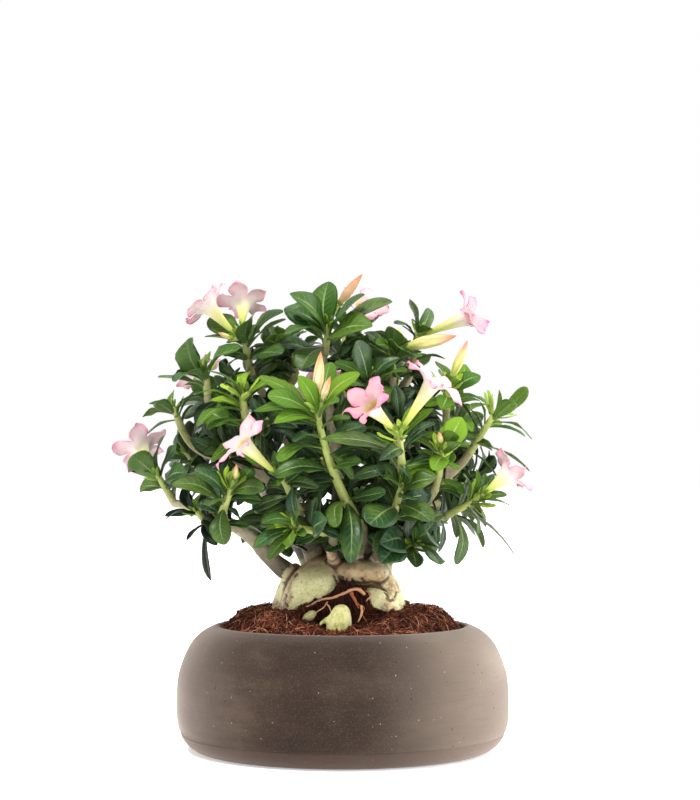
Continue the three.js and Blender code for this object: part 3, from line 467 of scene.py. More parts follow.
def add_blade(piece, top, down, tint, along, across):
    """A thin closed blade. `top` is a grid of points and `down` the way to its lower face at each."""
    rows, cols = top.shape[:2]
    inner = (top + down)[1:-1, 1:-1]
    upper = np.arange(rows * cols).reshape(rows, cols)
    under = upper.copy()
    under[1:-1, 1:-1] = rows * cols + np.arange((rows - 2) * (cols - 2)).reshape(rows - 2, cols - 2)
    quads = grid_quads(rows, cols)
    side = np.zeros((rows, cols))
    side[1:-1, 1:-1] = 1
    place = np.stack([across, along, side], -1)
    inner_place = place[1:-1, 1:-1] * (1, 1, -1)
    piece.add(
        np.concatenate([top.reshape(-1, 3), inner.reshape(-1, 3)]),
        np.concatenate([quads, under.reshape(-1)[quads][:, ::-1]]),
        tint=tint,
        place=np.concatenate([place.reshape(-1, 3), inner_place.reshape(-1, 3)]),
    )


def frames_along(points):
    """Tangents and one steady cross direction at each point of a line."""
    tangents = np.gradient(points, axis=0)
    tangents /= np.linalg.norm(tangents, axis=1)[:, None]
    side = across_from(tangents[0])
    sides = []
    for tangent in tangents:
        side = unit(side - tangent * np.dot(side, tangent))
        sides.append(side)
    return tangents, np.array(sides)


def add_tube(piece, points, radii, sides=8, material=0, tint=(0, 0, 0), flutes=None):
    """A closed round stem. `flutes` scales the radius at each ring and side."""
    points = np.asarray(points, float)
    tangents, normals = frames_along(points)
    others = np.cross(tangents, normals)
    angle = circle(sides)
    reach = np.asarray(radii, float)[:, None] * (np.ones((1, sides)) if flutes is None else flutes)
    rings = (points[:, None] + normals[:, None] * (reach * np.cos(angle))[..., None]
             + others[:, None] * (reach * np.sin(angle))[..., None])
    n = len(points)
    place = np.zeros((n * sides + 2, 3))
    place[:-2, 1] = np.repeat(np.linspace(0, 1, n), sides)
    place[:-2, 0] = np.tile(np.arange(sides) / sides, n)
    place[-1, 1] = 1
    add_rings(piece, rings, points[0], points[-1], material=material, tint=tint, place=place)


# Leaves

LEAF_ROWS = np.array([0, 0.09, 0.2, 0.33, 0.47, 0.6, 0.72, 0.82, 0.9, 0.955, 0.985, 0.999])
LEAF_COLUMNS = np.array([-1, -0.72, -0.4, -0.1, 0, 0.1, 0.4, 0.72, 1])
SMALL_ROWS = LEAF_ROWS[[0, 2, 4, 5, 6, 7, 8, 9, 10, 11]]
SMALL_COLUMNS = LEAF_COLUMNS[[0, 2, 3, 4, 5, 6, 8]]
LEAF_THICKNESS = 0.5
PETIOLE = 0.9
PROBES = [(0.3, 0), (0.45, 0), (0.6, 0), (0.75, 0), (0.9, 0), (1, 0), (0.5, 0.8), (0.5, -0.8),
          (0.65, 0.9), (0.65, -0.9), (0.8, 0.9), (0.8, -0.9), (0.92, 0.7), (0.92, -0.7)]


def draw(*keys):
    """The CAD source's repeatable number from 0 to 1."""
    h = SEED
    for key in keys:
        h = ((h ^ key) * DRAW_MIX[0]) & WORD
        h ^= h >> 15
        h = (h * DRAW_MIX[1]) & WORD
        h ^= h >> 13
    return h / 2 ** 32


def half_width(s, width, bulge=LEAF_BULGE, taper=LEAF_TAPER):
    widest = bulge / (bulge + taper)
    return 0.5 * width * (s / widest) ** bulge * ((1 - s) / (1 - widest)) ** taper


def leaf_frame(start, tip, facing, roll, width):
    along = unit(tip - start)
    up = turned(unit(facing - along * np.dot(facing, along)), along, roll)
    return dict(start=start, along=along, up=up, across=np.cross(along, up),
                length=np.linalg.norm(tip - start), width=width, arch=LEAF_ARCH)


def probes_of(leaf):
    """Points spread over a leaf, with which it is kept apart from the others."""
    points = []
    for s, w in PROBES:
        half = half_width(min(s, 0.97), leaf["width"]) * w
        points.append(leaf["start"] + leaf["along"] * leaf["length"] * s + leaf["across"] * half
                      + leaf["up"] * leaf["length"] * leaf["arch"] * 4 * s * (1 - s))
    return np.array(points)


SAME_PLACE = 0.05  # how near a CAD vertex has to be to a leaf's tip

# How leaves differ, as the least and the most: a bend to one side, a twist, edge waves with their
# number and place, a fold along the midrib, a drooping tip, and the two powers of the outline
LEAF_LEAST = (-0.07, -0.4, 0.02, 7, 0, 0.05, -0.03, 1.1, 0.48)
LEAF_MOST = (0.07, 0.4, 0.18, 13, 6.28, 0.5, 0.12, 1.6, 0.88)


def add_leaf(piece, leaf, tint, small=False):
    """A spoon-shaped leaf: folded along its midrib, arched, waved at its edges, drooping at its tip."""
    s = (SMALL_ROWS if small else LEAF_ROWS)[:, None]
    w = (SMALL_COLUMNS if small else LEAF_COLUMNS)[None, :]
    length, width = leaf["length"], leaf["width"]
    swing, twist, wave, waves, phase, folded, droop, bulge, taper = CHANCE.uniform(LEAF_LEAST, LEAF_MOST)
    stalk = PETIOLE * (1 - s) ** 0.5 * min(1, length / 40)
    half = np.maximum(half_width(s, width, bulge, taper), stalk)
    fold = half * np.abs(w) * math.sin(folded) * (1.4 - 0.9 * np.abs(w))
    ripple = wave * half * np.abs(w) ** 2 * np.sin(waves * s + phase + 1.8 * np.sign(w))
    groove = -0.35 * np.exp(-(w / 0.12) ** 2) * (1 - s)
    arch = length * leaf["arch"] * 4 * s * (1 - s)
    arch = arch - length * droop * smoothstep((s - 0.45) / 0.55) ** 2
    rise = fold + ripple + groove
    aside = w * half * math.cos(folded) + length * swing * np.sin(np.pi * s)
    angle = twist * (s - 0.4)
    up = leaf["up"] * np.cos(angle)[..., None] - leaf["across"] * np.sin(angle)[..., None]
    across = leaf["across"] * np.cos(angle)[..., None] + leaf["up"] * np.sin(angle)[..., None]
    top = (leaf["start"] + leaf["along"] * (length * s)[..., None] + leaf["up"] * arch[..., None]
           + up * rise[..., None] + across * aside[..., None])
    thickness = LEAF_THICKNESS * (1 + 0.8 * np.exp(-(w / 0.15) ** 2) * (1 - s)) + 0 * half
    down = -up * thickness[..., None]
    add_blade(piece, top, down, tint,
              along=np.broadcast_to(s, top.shape[:2]), across=np.broadcast_to(w, top.shape[:2]))


def aimed_leaf(target, curve):
    tip = np.array(target, float)
    places = [i / 20 for i in range(21)]
    gaps = [np.linalg.norm(curve.point(t) - tip) for t in places]
    best = int(np.argmin(gaps))
    at = min(max(places[best] - 0.35 * gaps[best] / curve.length, 0.2), 0.92)
    return dict(start=curve.point(at), tip=tip, at=at)


def ruled_leaf(s, number, k):
    curve, age = s["curve"], (k + 0.5) / s["ruled"]
    at = mix(0.9, 0.3, age)
    axis = curve.tangent(1)
    turn = math.radians(LEAF_TURN * k + 360 * draw(number, k, 1))
    aside = turned(across_from(axis), axis, turn)
    opening = math.radians(mix(38, 88, age) + 14 * draw(number, k, 2))
    length = s["size"] * mix(0.8, 1.05, age) * mix(0.9, 1.1, draw(number, k, 3))
    start = curve.point(at)
    tip = start + axis * length * math.cos(opening) + aside * length * math.sin(opening)
    return dict(start=start, tip=tip - UP * 0.14 * length * age, at=at)


def facing_of(s):
    outward = unit([s["tip"][0], s["tip"][1], 0])
    return s["curve"].tangent(1) + 0.9 * outward + 0.5 * UP


def cad_leaf(wanted, s, number, k, attempt):
    start, tip = wanted["start"], wanted["tip"]
    length = np.linalg.norm(tip - start)
    sway = 0.07 * attempt * length
    right, back, up = ((2 * draw(number, k, attempt, i) - 1) * sway for i in (1, 2, 3))
    reach = length * (1 - 0.045 * max(0, attempt - 6))
    swayed = tip + np.array([0.7 * right, 1.2 * back, 0.7 * up])
    swayed = start + unit(swayed - start) * reach
    roll = math.radians(36 * (draw(number, k, attempt, 4) - 0.5))
    width = s["slim"] * min(length, LONGEST_LEAF) * mix(0.88, 1.12, draw(number, k, 5))
    return leaf_frame(start, swayed, facing_of(s), roll, width)


def cad_leaves(s, number):
    """The leaves that the CAD shoot has, each on the try at which it found room."""
    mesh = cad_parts[s["name"]].data
    tree = KDTree(len(mesh.vertices))
    for i, v in enumerate(mesh.vertices):
        tree.insert(v.co / MM, i)
    tree.balance()
    wanted = [aimed_leaf(t, s["curve"]) for t in s["aimed"]]
    wanted += [ruled_leaf(s, number, k) for k in range(s["ruled"])]
    found = []
    for k, want in enumerate(wanted):
        for attempt in range(TRIES):
            leaf = cad_leaf(want, s, number, k, attempt)
            tip = leaf["start"] + leaf["along"] * leaf["length"]
            if tree.find(Vector(tip))[2] < SAME_PLACE:
                leaf.update(at=want["at"], aimed=k < len(s["aimed"]))
                found.append(leaf)
                break
    return found


def in_picture(points):
    """Where points fall in the photograph, in its pixels."""
    scale = PIXEL_FOCUS / (CAMERA["distance"] + points[:, 1])
    return np.stack([PICTURE_CENTRE[0] + (points[:, 0] - CAMERA["x"]) * scale,
                     PICTURE_CENTRE[1] + (CAMERA["height"] - points[:, 2]) * scale], -1)


def inside(polygon, points):
    """Whether each point lies inside the polygon."""
    x, y = points[:, 0], points[:, 1]
    result = np.zeros(len(points), bool)
    for (x0, y0), (x1, y1) in zip(polygon, polygon[1:] + polygon[:1]):
        crosses = (y0 > y) != (y1 > y)
        with np.errstate(divide="ignore", invalid="ignore"):
            result ^= crosses & (x < (x1 - x0) * (y - y0) / (y1 - y0) + x0)
    return result


LEAF_CLEARANCE = 2.2  # how far an added leaf stays from what stands already
# In the camera's view it may come within this distance in front of at most so many shown points
HIDDEN_WITHIN, MOST_HIDDEN = 5.5, 1
NEAR, NEAR_IN_VIEW = 60, 40  # how far from a leaf's middle other points are looked at


class Crowd:
    """The points already taken, so that a new leaf keeps clear of them and hides none in front."""

    def __init__(self):
        self.taken = np.zeros((0, 3))
        self.shown = np.zeros((0, 3))

    def take(self, points, shown=False):
        self.taken = np.concatenate([self.taken, points])
        if shown:
            self.shown = np.concatenate([self.shown, points])

    def clearance(self, points):
        centre = points.mean(0)
        near = self.taken[np.linalg.norm(self.taken - centre, axis=1) < NEAR]
        if not len(near):
            return NEAR
        return np.sqrt(((near[:, None] - points[None]) ** 2).sum(-1)).min()

    def hides(self, points):
        centre = points.mean(0)
        near = self.shown[np.linalg.norm((self.shown - centre)[:, (0, 2)], axis=1) < NEAR_IN_VIEW]
        if not len(near):
            return 0
        apart = np.linalg.norm((near[:, None] - points[None])[..., (0, 2)], axis=-1)
        before = points[None, :, 1] < near[:, None, 1] - 1
        return int(((apart < HIDDEN_WITHIN) & before).any(1).sum())


crowd = Crowd()


# Materials

class Shader:
    """A procedural material, with short names for the nodes it is made of."""

    def __init__(self, name, roughness, specular=0.3):
        self.material = bpy.data.materials.new(name)
        self.material.use_nodes = True
        self.nodes = self.material.node_tree.nodes
        self.links = self.material.node_tree.links
        self.surface = self.nodes["Principled BSDF"]
        self.surface.inputs["Roughness"].default_value = roughness
        self.surface.inputs["Specular IOR Level"].default_value = specular

    def node(self, kind, inputs=(), **settings):
        made = self.nodes.new(kind)
        for key, value in settings.items():
            setattr(made, key, value)
        for key, value in dict(inputs).items():
            self.feed(made.inputs[key], value)
        return made

    def feed(self, socket, value):
        if isinstance(value, bpy.types.NodeSocket):
            self.links.new(value, socket)
        elif isinstance(value, tuple) and socket.type == "RGBA":
            socket.default_value = (*value, 1)
        else:
            socket.default_value = value

    def parts(self, vector):
        """The three numbers of a vector."""
        made = self.node("ShaderNodeSeparateXYZ", {"Vector": vector})
        return made.outputs[0], made.outputs[1], made.outputs[2]

    def attribute(self, name):
        return self.parts(self.node("ShaderNodeAttribute", attribute_name=name).outputs["Vector"])

    def math(self, operation, a, b=0.0, clamp=False):
        made = self.node("ShaderNodeMath", {0: a, 1: b}, operation=operation, use_clamp=clamp)
        return made.outputs[0]

    def times(self, a, b):
        return self.math("MULTIPLY", a, b)

    def step(self, value, low, high, to_low=0.0, to_high=1.0):
        inputs = {"Value": value, "From Min": low, "From Max": high, "To Min": to_low, "To Max": to_high}
        made = self.node("ShaderNodeMapRange", inputs, interpolation_type="SMOOTHSTEP")
        return made.outputs["Result"]

    def blend(self, share, a, b):
        made = self.node("ShaderNodeMix", {"Factor": share}, data_type="RGBA")
        self.feed(made.inputs[6], a)
        self.feed(made.inputs[7], b)
        return made.outputs[2]

    def coats(self, colour, *layers):
        """Colours laid over one another, each with a strength, or with a value and a step across it."""
        for over, value, *span in layers:
            colour = self.blend(self.step(value, *span) if span else value, colour, over)
        return colour

    def place(self, scale=(1, 1, 1)):
        spot = self.node("ShaderNodeTexCoord").outputs["Object"]
        return self.node("ShaderNodeMapping", {"Vector": spot, "Scale": Vector(scale)}).outputs[0]

    def noise(self, scale, detail=3.0, stretch=(1, 1, 1), roughness=0.55):
        inputs = {"Vector": self.place(stretch), "Scale": scale,
                  "Detail": detail, "Roughness": roughness}
        return self.node("ShaderNodeTexNoise", inputs).outputs["Fac"]

    def spots(self, scale, core, edge, least, most, channel=0):
        """Small round marks, in those cells whose random number is high enough."""
        made = self.node("ShaderNodeTexVoronoi", {"Vector": self.place(), "Scale": scale})
        chance = self.node("ShaderNodeSeparateColor", {"Color": made.outputs["Color"]}).outputs[channel]
        return self.times(self.step(made.outputs["Distance"], core, edge, 1, 0),
                          self.step(chance, least, most))

    def ramp(self, value, *stops):
        made = self.node("ShaderNodeValToRGB", {"Fac": value})
        while len(made.color_ramp.elements) < len(stops):
            made.color_ramp.elements.new(0.5)
        for element, (spot, colour) in zip(made.color_ramp.elements, stops):
            element.position = spot
            element.color = (*colour, 1)
        return made.outputs["Color"]

    def finish(self, colour, height=None, depth=0.0005, strength=0.6, roughness=None):
        self.feed(self.surface.inputs["Base Color"], colour)
        if height is not None:
            inputs = {"Height": height, "Distance": depth, "Strength": strength}
            bump = self.node("ShaderNodeBump", inputs)
            self.links.new(bump.outputs[0], self.surface.inputs["Normal"])
        if roughness is not None:
            self.feed(self.surface.inputs["Roughness"], roughness)
        return self.material


def clay_material():
    m = Shader("clay", 0.85, 0.15)
    for key, value in (("Weight", 0.45), ("Roughness", 0.4), ("Tint", (1.0, 0.86, 0.76, 1))):
        m.surface.inputs["Sheen " + key].default_value = value
    right, _, high = m.parts(m.place())
    from_shaded_middle = m.math("ABSOLUTE", m.math("SUBTRACT", right, 0.005))
    streak = m.noise(42, 4, (0.6, 0.6, 6))
    scratch = m.noise(90, 4, (0.35, 0.35, 9))
    grain = m.noise(850, 3)
    grit = m.spots(330, 0.1, 0.2, 0.93, 1.0)
    pit = m.spots(210, 0.08, 0.26, 0.88, 0.92, 1)
    colour = m.coats(
        m.ramp(m.noise(14, 6, (1, 1, 1.7), 0.65), (0.32, (0.020, 0.011, 0.007)),
               (0.5, (0.036, 0.021, 0.014)), (0.68, (0.066, 0.043, 0.030))),
        ((0.020, 0.013, 0.009), streak, 0.42, 0.7, 0, 0.3),
        ((0.014, 0.0085, 0.006), from_shaded_middle, 0.02, 0.09, 0.45, 0),  # painted shade down the middle of the front and back, where less light falls
        ((0.30, 0.24, 0.19), right, 0.01, 0.14, 0, 0.55),  # painted light on the right side
        ((0.22, 0.18, 0.15), right, -0.07, -0.145, 0, 0.35),  # and painted light on the left one
        ((0.055, 0.040, 0.030), scratch, 0.5, 0.72, 0, 0.16),
        ((0.13, 0.10, 0.075), grain, 0.5, 0.7, 0, 0.22),
        ((0.44, 0.37, 0.27), m.times(grit, 0.75)),
        ((0.02, 0.013, 0.010), m.times(pit, 0.85)),
        ((0.10, 0.062, 0.048), high, 0.012, 0.017, 0.35, 0),  # the redder foot
    )
    rough = m.math("ADD", m.times(streak, 0.5), m.times(grain, 0.5))
    return m.finish(colour, m.math("SUBTRACT", rough, m.times(pit, 0.9)), 0.0006, 0.5)


def coir_material():
    m = Shader("coir", 0.95, 0.1)
    dark, _, _ = m.attribute("tint")
    lumps = m.ramp(m.noise(190, 5), (0.36, (0.006, 0.002, 0.002)), (0.5, (0.040, 0.012, 0.008)),
                   (0.66, (0.17, 0.046, 0.024)))
    # darker under the caudex's arch: painted shade
    return m.finish(m.coats(lumps, ((0.008, 0.004, 0.004), dark)), m.noise(700, 4), 0.0014, 1.0)


def fibre_material():
    m = Shader("fibre", 0.8, 0.15)
    warm, light, _ = m.attribute("tint")
    return m.finish(m.coats(
        m.ramp(warm, (0.0, (0.018, 0.006, 0.005)), (0.35, (0.10, 0.025, 0.013)),
               (0.65, (0.46, 0.14, 0.060)), (1.0, (0.84, 0.46, 0.28))),
        ((0.04, 0.012, 0.007), m.times(m.noise(300, 2), 0.4)),
        ((0.55, 0.31, 0.15), light),
    ))


def bark_material():
    m = Shader("bark", 0.55, 0.25)
    youth, tuber, hollow_shade = m.attribute("tint")
    stain, crack, _ = m.attribute("place")
    _, _, high = m.parts(m.place())
    from_shaded_core = m.node("ShaderNodeVectorMath", {0: m.place(), 1: Vector((0.0, -0.005, 0.165))},
                       operation="DISTANCE").outputs["Value"]
    patch = m.noise(34, 5, roughness=0.65)
    mottle = m.noise(260, 5, roughness=0.7)
    pit = m.spots(80, 0.1, 0.2, 0.86, 0.9)
    skin = m.coats(
        m.ramp(patch, (0.32, (0.60, 0.56, 0.26)), (0.48, (0.80, 0.76, 0.41)), (0.62, (0.82, 0.74, 0.44)),
               (0.74, (0.62, 0.46, 0.27))),
        ((0.40, 0.43, 0.15), mottle, 0.48, 0.7, 0, 0.55),
        ((0.14, 0.105, 0.060), high, 0.138, 0.160, 0, 0.8),  # darker up between the limbs: painted shade under the crown, and dirt
    )
    limb = m.coats(
        m.ramp(m.noise(70, 4, (1, 1, 0.5)), (0.32, (0.24, 0.19, 0.13)), (0.5, (0.46, 0.40, 0.26)),
               (0.7, (0.62, 0.56, 0.39))),
        # painted shade on the limbs near the middle of the crown
        ((0.060, 0.040, 0.036), from_shaded_core, 0.05, 0.105, 0.85, 0),
    )
    green = m.ramp(m.noise(80, 3), (0.35, (0.24, 0.26, 0.07)), (0.65, (0.40, 0.39, 0.14)))
    bare = m.ramp(m.noise(150, 4), (0.35, (0.30, 0.31, 0.09)), (0.5, (0.50, 0.48, 0.21)),
                  (0.66, (0.58, 0.49, 0.26)))
    brown = m.ramp(m.noise(120, 4), (0.35, (0.26, 0.15, 0.08)), (0.5, (0.46, 0.31, 0.17)),
                   (0.65, (0.62, 0.46, 0.28)))
    colour = m.coats(
        skin,
        (limb, youth, 0.05, 0.3),
        (green, youth, 0.5, 0.95),
        (bare, tuber, 0.3, 0.7),
        (brown, m.times(stain, m.step(mottle, 0.36, 0.56, 0.3, 0.95))),
        ((0.20, 0.13, 0.06), m.noise(520, 3), 0.56, 0.7, 0, 0.45),
        ((0.10, 0.05, 0.03), m.times(pit, 0.7)),
        # painted shade in the hollows
        ((0.050, 0.026, 0.018), hollow_shade, 0.08, 0.7, 0, 0.92),
        ((0.060, 0.028, 0.018), crack, 0.2, 0.95, 0, 0.85),
    )
    height = m.math("ADD", m.times(mottle, 0.9), m.times(patch, 0.4))
    return m.finish(colour, m.math("SUBTRACT", height, m.times(pit, 0.5)), 0.0011, 0.8)


def stem_material():
    m = Shader("green_stem", 0.5, 0.3)
    youth, _, _ = m.attribute("tint")
    _, along, _ = m.attribute("place")
    old = m.ramp(m.noise(120, 3), (0.35, (0.23, 0.22, 0.10)), (0.65, (0.38, 0.35, 0.17)))
    fresh = m.ramp(m.noise(150, 2), (0.35, (0.30, 0.40, 0.07)), (0.65, (0.46, 0.52, 0.14)))
    share = m.math("ADD", m.times(along, 0.6), m.times(youth, 0.6), clamp=True)
    return m.finish(m.blend(share, old, fresh), m.noise(400, 3), 0.0004, 0.5)


def leaf_material():
    m = Shader("leaf", 0.45, 0.3)
    youth, chance, shade = m.attribute("tint")
    across, along, side = m.attribute("place")
    out = m.math("ABSOLUTE", across)
    blade = m.coats(
        m.ramp(youth, (0.0, (0.010, 0.040, 0.013)), (0.25, (0.034, 0.100, 0.008)),
               (0.5, (0.115, 0.240, 0.014)), (0.78, (0.34, 0.52, 0.034)), (1.0, (0.60, 0.76, 0.12))),
        ((0.13, 0.19, 0.012), chance, 0.5, 1.0, 0, 0.3),  # some leaves are yellower
        ((0.013, 0.060, 0.030), chance, 0.0, 0.45, 0.45, 0),  # and some bluer
        ((0.14, 0.24, 0.022), m.noise(55, 3), 0.45, 0.75, 0, 0.35),
    )
    slant = m.math("SUBTRACT", m.times(along, 62.0), m.times(out, 12.0))
    vein = m.times(m.step(m.math("SINE", slant), 0.75, 1.0), m.step(out, 0.05, 0.9, 1, 0))
    rib = m.times(m.step(out, 0.03, 0.085, 1, 0), m.step(along, 0.4, 1.0, 0.85, 0.15))
    upper = m.coats(
        blade,
        (m.blend(0.6, blade, (0.38, 0.50, 0.20)), m.times(vein, 0.3)),
        (m.blend(youth, (0.28, 0.40, 0.16), (0.52, 0.64, 0.20)), rib),
        ((0.28, 0.38, 0.07), along, 0.03, 0.2, 0.6, 0),  # paler towards the stalk
        ((0.22, 0.30, 0.06), out, 0.9, 1.0, 0, 0.35),  # and at the edge
    )
    colour = m.coats(
        upper,
        (m.blend(0.5, upper, (0.12, 0.19, 0.06)), side, -0.12, -0.02, 1, 0),
        # painted shade: darker inside the crown and on shaded shoots
        ((0.002, 0.008, 0.003), shade),
    )
    gloss = m.times(m.step(youth, 0.0, 0.45, 0.34, 0.08), m.step(shade, 0.3, 0.9, 1, 0.25))
    m.feed(m.surface.inputs["Specular IOR Level"], gloss)
    height = m.math("ADD", m.times(vein, -0.5), m.times(m.noise(260, 3), 0.5))
    return m.finish(colour, height, 0.0008, 0.7, m.step(youth, 0.0, 0.45, 0.36, 0.5))


def petal_material():
    m = Shader("petal", 0.6, 0.1)
    pink, chance, thread = m.attribute("tint")
    across, along, side = m.attribute("place")
    out = m.math("ABSOLUTE", across)
    on_top = m.step(side, -0.2, 0.2)
    on_lobe = m.step(along, 0.52, 0.8)
    cloud = m.step(m.noise(110, 4), 0.38, 0.62, 0.15, 1.0)
    edge = m.math("MAXIMUM", m.step(out, 0.4, 1.0), m.step(along, 0.82, 1.0))
    edge = m.times(m.times(edge, on_lobe), m.step(pink, 0.2, 1.0, 0.75, 0.95))
    ray = m.math("SINE", m.times(across, 24.0))
    colour = m.coats(
        m.ramp(along, (0.0, (0.30, 0.38, 0.06)), (0.16, (0.50, 0.54, 0.13)), (0.34, (0.66, 0.63, 0.28)),
               (0.47, (0.68, 0.62, 0.46)), (0.58, (0.72, 0.60, 0.60)), (1.0, (0.74, 0.53, 0.57))),
        ((0.70, 0.48, 0.16), m.times(on_top, m.step(along, 0.42, 0.6, 1, 0))),  # the yellow throat
        ((0.56, 0.42, 0.42), m.times(on_top, m.step(along, 0.5, 0.62, 0, 0.5))),
        ((0.76, 0.28, 0.32), m.times(on_lobe, m.step(pink, 0.3, 1.0, 0.08, 0.75))),
        ((0.74, 0.16, 0.34), m.times(edge, cloud)),
        ((0.36, 0.03, 0.06), m.times(m.step(along, 0.965, 1.0), m.step(chance, 0.3, 0.6))),  # burnt tips
        ((0.76, 0.42, 0.44), m.times(m.step(ray, 0.5, 1.0, 0, 0.12), m.step(along, 0.4, 0.6))),
        ((0.74, 0.66, 0.34), thread),
    )
    return m.finish(colour, m.noise(140, 3), 0.0004, 0.3)


def bud_material():
    m = Shader("bud", 0.5, 0.25)
    green, _, _ = m.attribute("tint")
    around, along, _ = m.attribute("place")
    ripe = m.ramp(along, (0.0, (0.34, 0.42, 0.08)), (0.15, (0.66, 0.62, 0.26)),
                  (0.4, (0.84, 0.70, 0.44)), (0.72, (0.80, 0.46, 0.24)), (1.0, (0.36, 0.13, 0.05)))
    fresh = m.ramp(along, (0.0, (0.30, 0.42, 0.06)), (0.3, (0.58, 0.62, 0.16)),
                   (0.62, (0.66, 0.64, 0.24)), (0.8, (0.66, 0.38, 0.22)), (1.0, (0.42, 0.12, 0.08)))
    seam = m.math("SINE", m.math("ADD", m.times(around, 31.4), m.times(along, -6.0)))
    colour = m.coats(
        ripe,
        (fresh, green),
        ((0.30, 0.13, 0.06), green, -1.0, 0.0, 0.75, 0.0),
        ((0.56, 0.24, 0.10), seam, 0.2, 1.0, 0, 0.5),
    )
    return m.finish(colour, m.noise(500, 2), 0.0003, 0.4)


MATERIAL = dict(clay=clay_material(), coir=coir_material(), fibre=fibre_material(),
                bark=bark_material(), stem=stem_material(), leaf=leaf_material(),
                petal=petal_material(), bud=bud_material())


# The bowl

# Its outline as radius and height: from the foot up the outside, over the rim and down the inside
BOWL_OUTLINE = [
    (60, 0), (116, 0), (120, 0.2), (123.6, 1), (127.4, 2.8), (131, 5.4), (134, 8.6), (136.2, 12),
    (137, 14), (136.9, 15), (137.6, 16), (139.2, 20), (140.3, 26.5), (140.8, 34), (140.8, 46),
    (140.2, 57), (138.9, 65), (136.8, 72), (133.6, 80.5), (129.4, 88.6), (124.4, 95), (118.6, 99.8),
    (112.6, 103), (108.6, 104.5), (106, 104.7), (104.4, 104.1), (104, 102.6), (106, 99.6), (112, 94),
    (120, 86), (127, 75), (132, 60), (131, 36), (124, 22), (111, 10.6), (60, 10),
]
BOWL_STEPS, BOWL_SIDES = 150, 144
BOWL_FLOOR = BOWL_OUTLINE[-1][1]
BOWL_INSET = 0.25  # keeps the uneven skin inside the solid's size


def build_bowl():
    curve = catmull([(r, 0, z) for r, z in BOWL_OUTLINE])
    profile = np.array([curve.point(t) for t in np.linspace(0, 1, BOWL_STEPS)])[:, (0, 2)]
    angle = circle(BOWL_SIDES)
    wobble = 1 + 0.0014 * np.sin(3 * angle + 1) + 0.001 * np.sin(7 * angle)
    r = profile[:, :1] * wobble - BOWL_INSET
    z = np.broadcast_to(profile[:, 1:], r.shape)
    rings = np.stack([r * np.cos(angle), r * np.sin(angle), z], -1)
    piece = Piece()
    add_rings(piece, rings, (0, 0, 0), (0, 0, BOWL_FLOOR))
    hand_over(piece.object("clay_bowl", "clay"), "clay", "bowl")


# The coir

# Coir held under the caudex's arch: banks as (x, y, height, half width, half depth)
BANKS = [(15, -43, 22, 13, 11), (1, -52, 22, 10, 9), (-12, -55, 17, 12, 8), (-30, -54, 6, 12, 7)]
# Painted shade: the dark places under it, as (x, y, half width, half depth)
ARCH_SHADE = [(8, -54, 27, 20), (-16, -64, 24, 12), (20, -70, 12, 9)]
# Rings of the coir's underside inside the bowl, as radius and height
SOIL_BELOW = [(104, 97), (112, 91), (118.4, 84.5), (131, 61), (130, 37), (110, 10.5), (50, 10.5)]
# The coir's lumps, as height, size and seed
SOIL_LUMPS = [(1.8, 8, 1), (1.3, 3.6, 2), (0.9, 1.9, 3)]
SOIL_SIDES = 240
SOIL_RINGS = np.concatenate([np.linspace(0.6, 100.5, 80), [101.8, 102.6]])


def soil_height(x, y):
    inward = (SOIL["reach"] + 4 - np.hypot(x, y)) / SOIL["mound_width"]
    mound = SOIL["mound"] * smoothstep(inward)
    dip = ((x - HOLLOW["x"]) / HOLLOW["across"]) ** 2 + ((y - HOLLOW["y"]) / HOLLOW["deep"]) ** 2
    lumps = np.sin(x * 0.19 + 1) * np.cos(y * 0.23) + 0.6 * np.sin(x * 0.41 - y * 0.37)
    z = SOIL["edge"] + mound - HOLLOW["depth"] * np.exp(-dip) + lumps
    for cx, cy, height, across, deep in BANKS:
        z = z + height * np.exp(-((x - cx) / across) ** 2 - ((y - cy) / deep) ** 2)
    spot = np.stack([x, y, 0 * x], -1)
    return z + layered(spot, SOIL_LUMPS)


def painted_arch_shade(x, y):
    """How much painted shade a place on the coir takes, by how deep in the caudex's arch it lies, from 0
    to 1.
    """
    shade = sum(np.exp(-((x - cx) / across) ** 2 - ((y - cy) / deep) ** 2)
                for cx, cy, across, deep in ARCH_SHADE)
    return np.minimum(shade, 1)


def build_soil():
    angle = circle(SOIL_SIDES)
    x, y = SOIL_RINGS[:, None] * np.cos(angle), SOIL_RINGS[:, None] * np.sin(angle)
    top = np.stack([x, y, soil_height(x, y)], -1)
    below = [np.stack([r * np.cos(angle), r * np.sin(angle), np.full(SOIL_SIDES, z)], -1)
             for r, z in SOIL_BELOW]
    rings = np.concatenate([top, below])
    first, last = top[0].mean(0), (0, 0, SOIL_BELOW[-1][1])
    spots = np.concatenate([rings.reshape(-1, 3), [first, last]])
    tint = np.zeros_like(spots)
    # painted shade under the caudex's arch
    tint[:, 0] = 0.8 * painted_arch_shade(spots[:, 0], spots[:, 1])
    piece = Piece()
    add_rings(piece, rings, first, last, tint=tint)
    hand_over(piece.object("coir_bed", "coir"), "coir", "soil")


SCATTER_REACH, SCATTER_POWER = 101.0, 0.55  # a power of 0.5 would be even, and more is denser inside
FIBRES_FRONT, FIBRES_BACK = 3600, 1900
FIBRE_STEPS = 6
FIBRE_SIDES = (0.0, 2.094, 4.189)  # radians around the thread
FIBRE_LENGTH, FIBRE_RADIUS = (5, 17), (0.17, 0.46)
LONG_FIBRES, LONGER_BY = 0.25, 13
WILD_FIBRES, WILD_LIFT = 0.08, (3, 10)  # the share that stands up out of the coir, and how high
FIBRES_ON_COIR, FIBRES_WITHIN, RIM_TOP = 102.0, 107, 105.5  # two distances from the axis, and a height
CRUMB_COUNT = 2400
CRUMB_LEAST = 0.35


def scattered(count):
    """Random places over the coir, a little denser towards the middle."""
    angle = CHANCE.uniform(0, 2 * np.pi, count)
    r = SCATTER_REACH * CHANCE.uniform(0, 1, count) ** SCATTER_POWER
    return r * np.cos(angle), r * np.sin(angle)


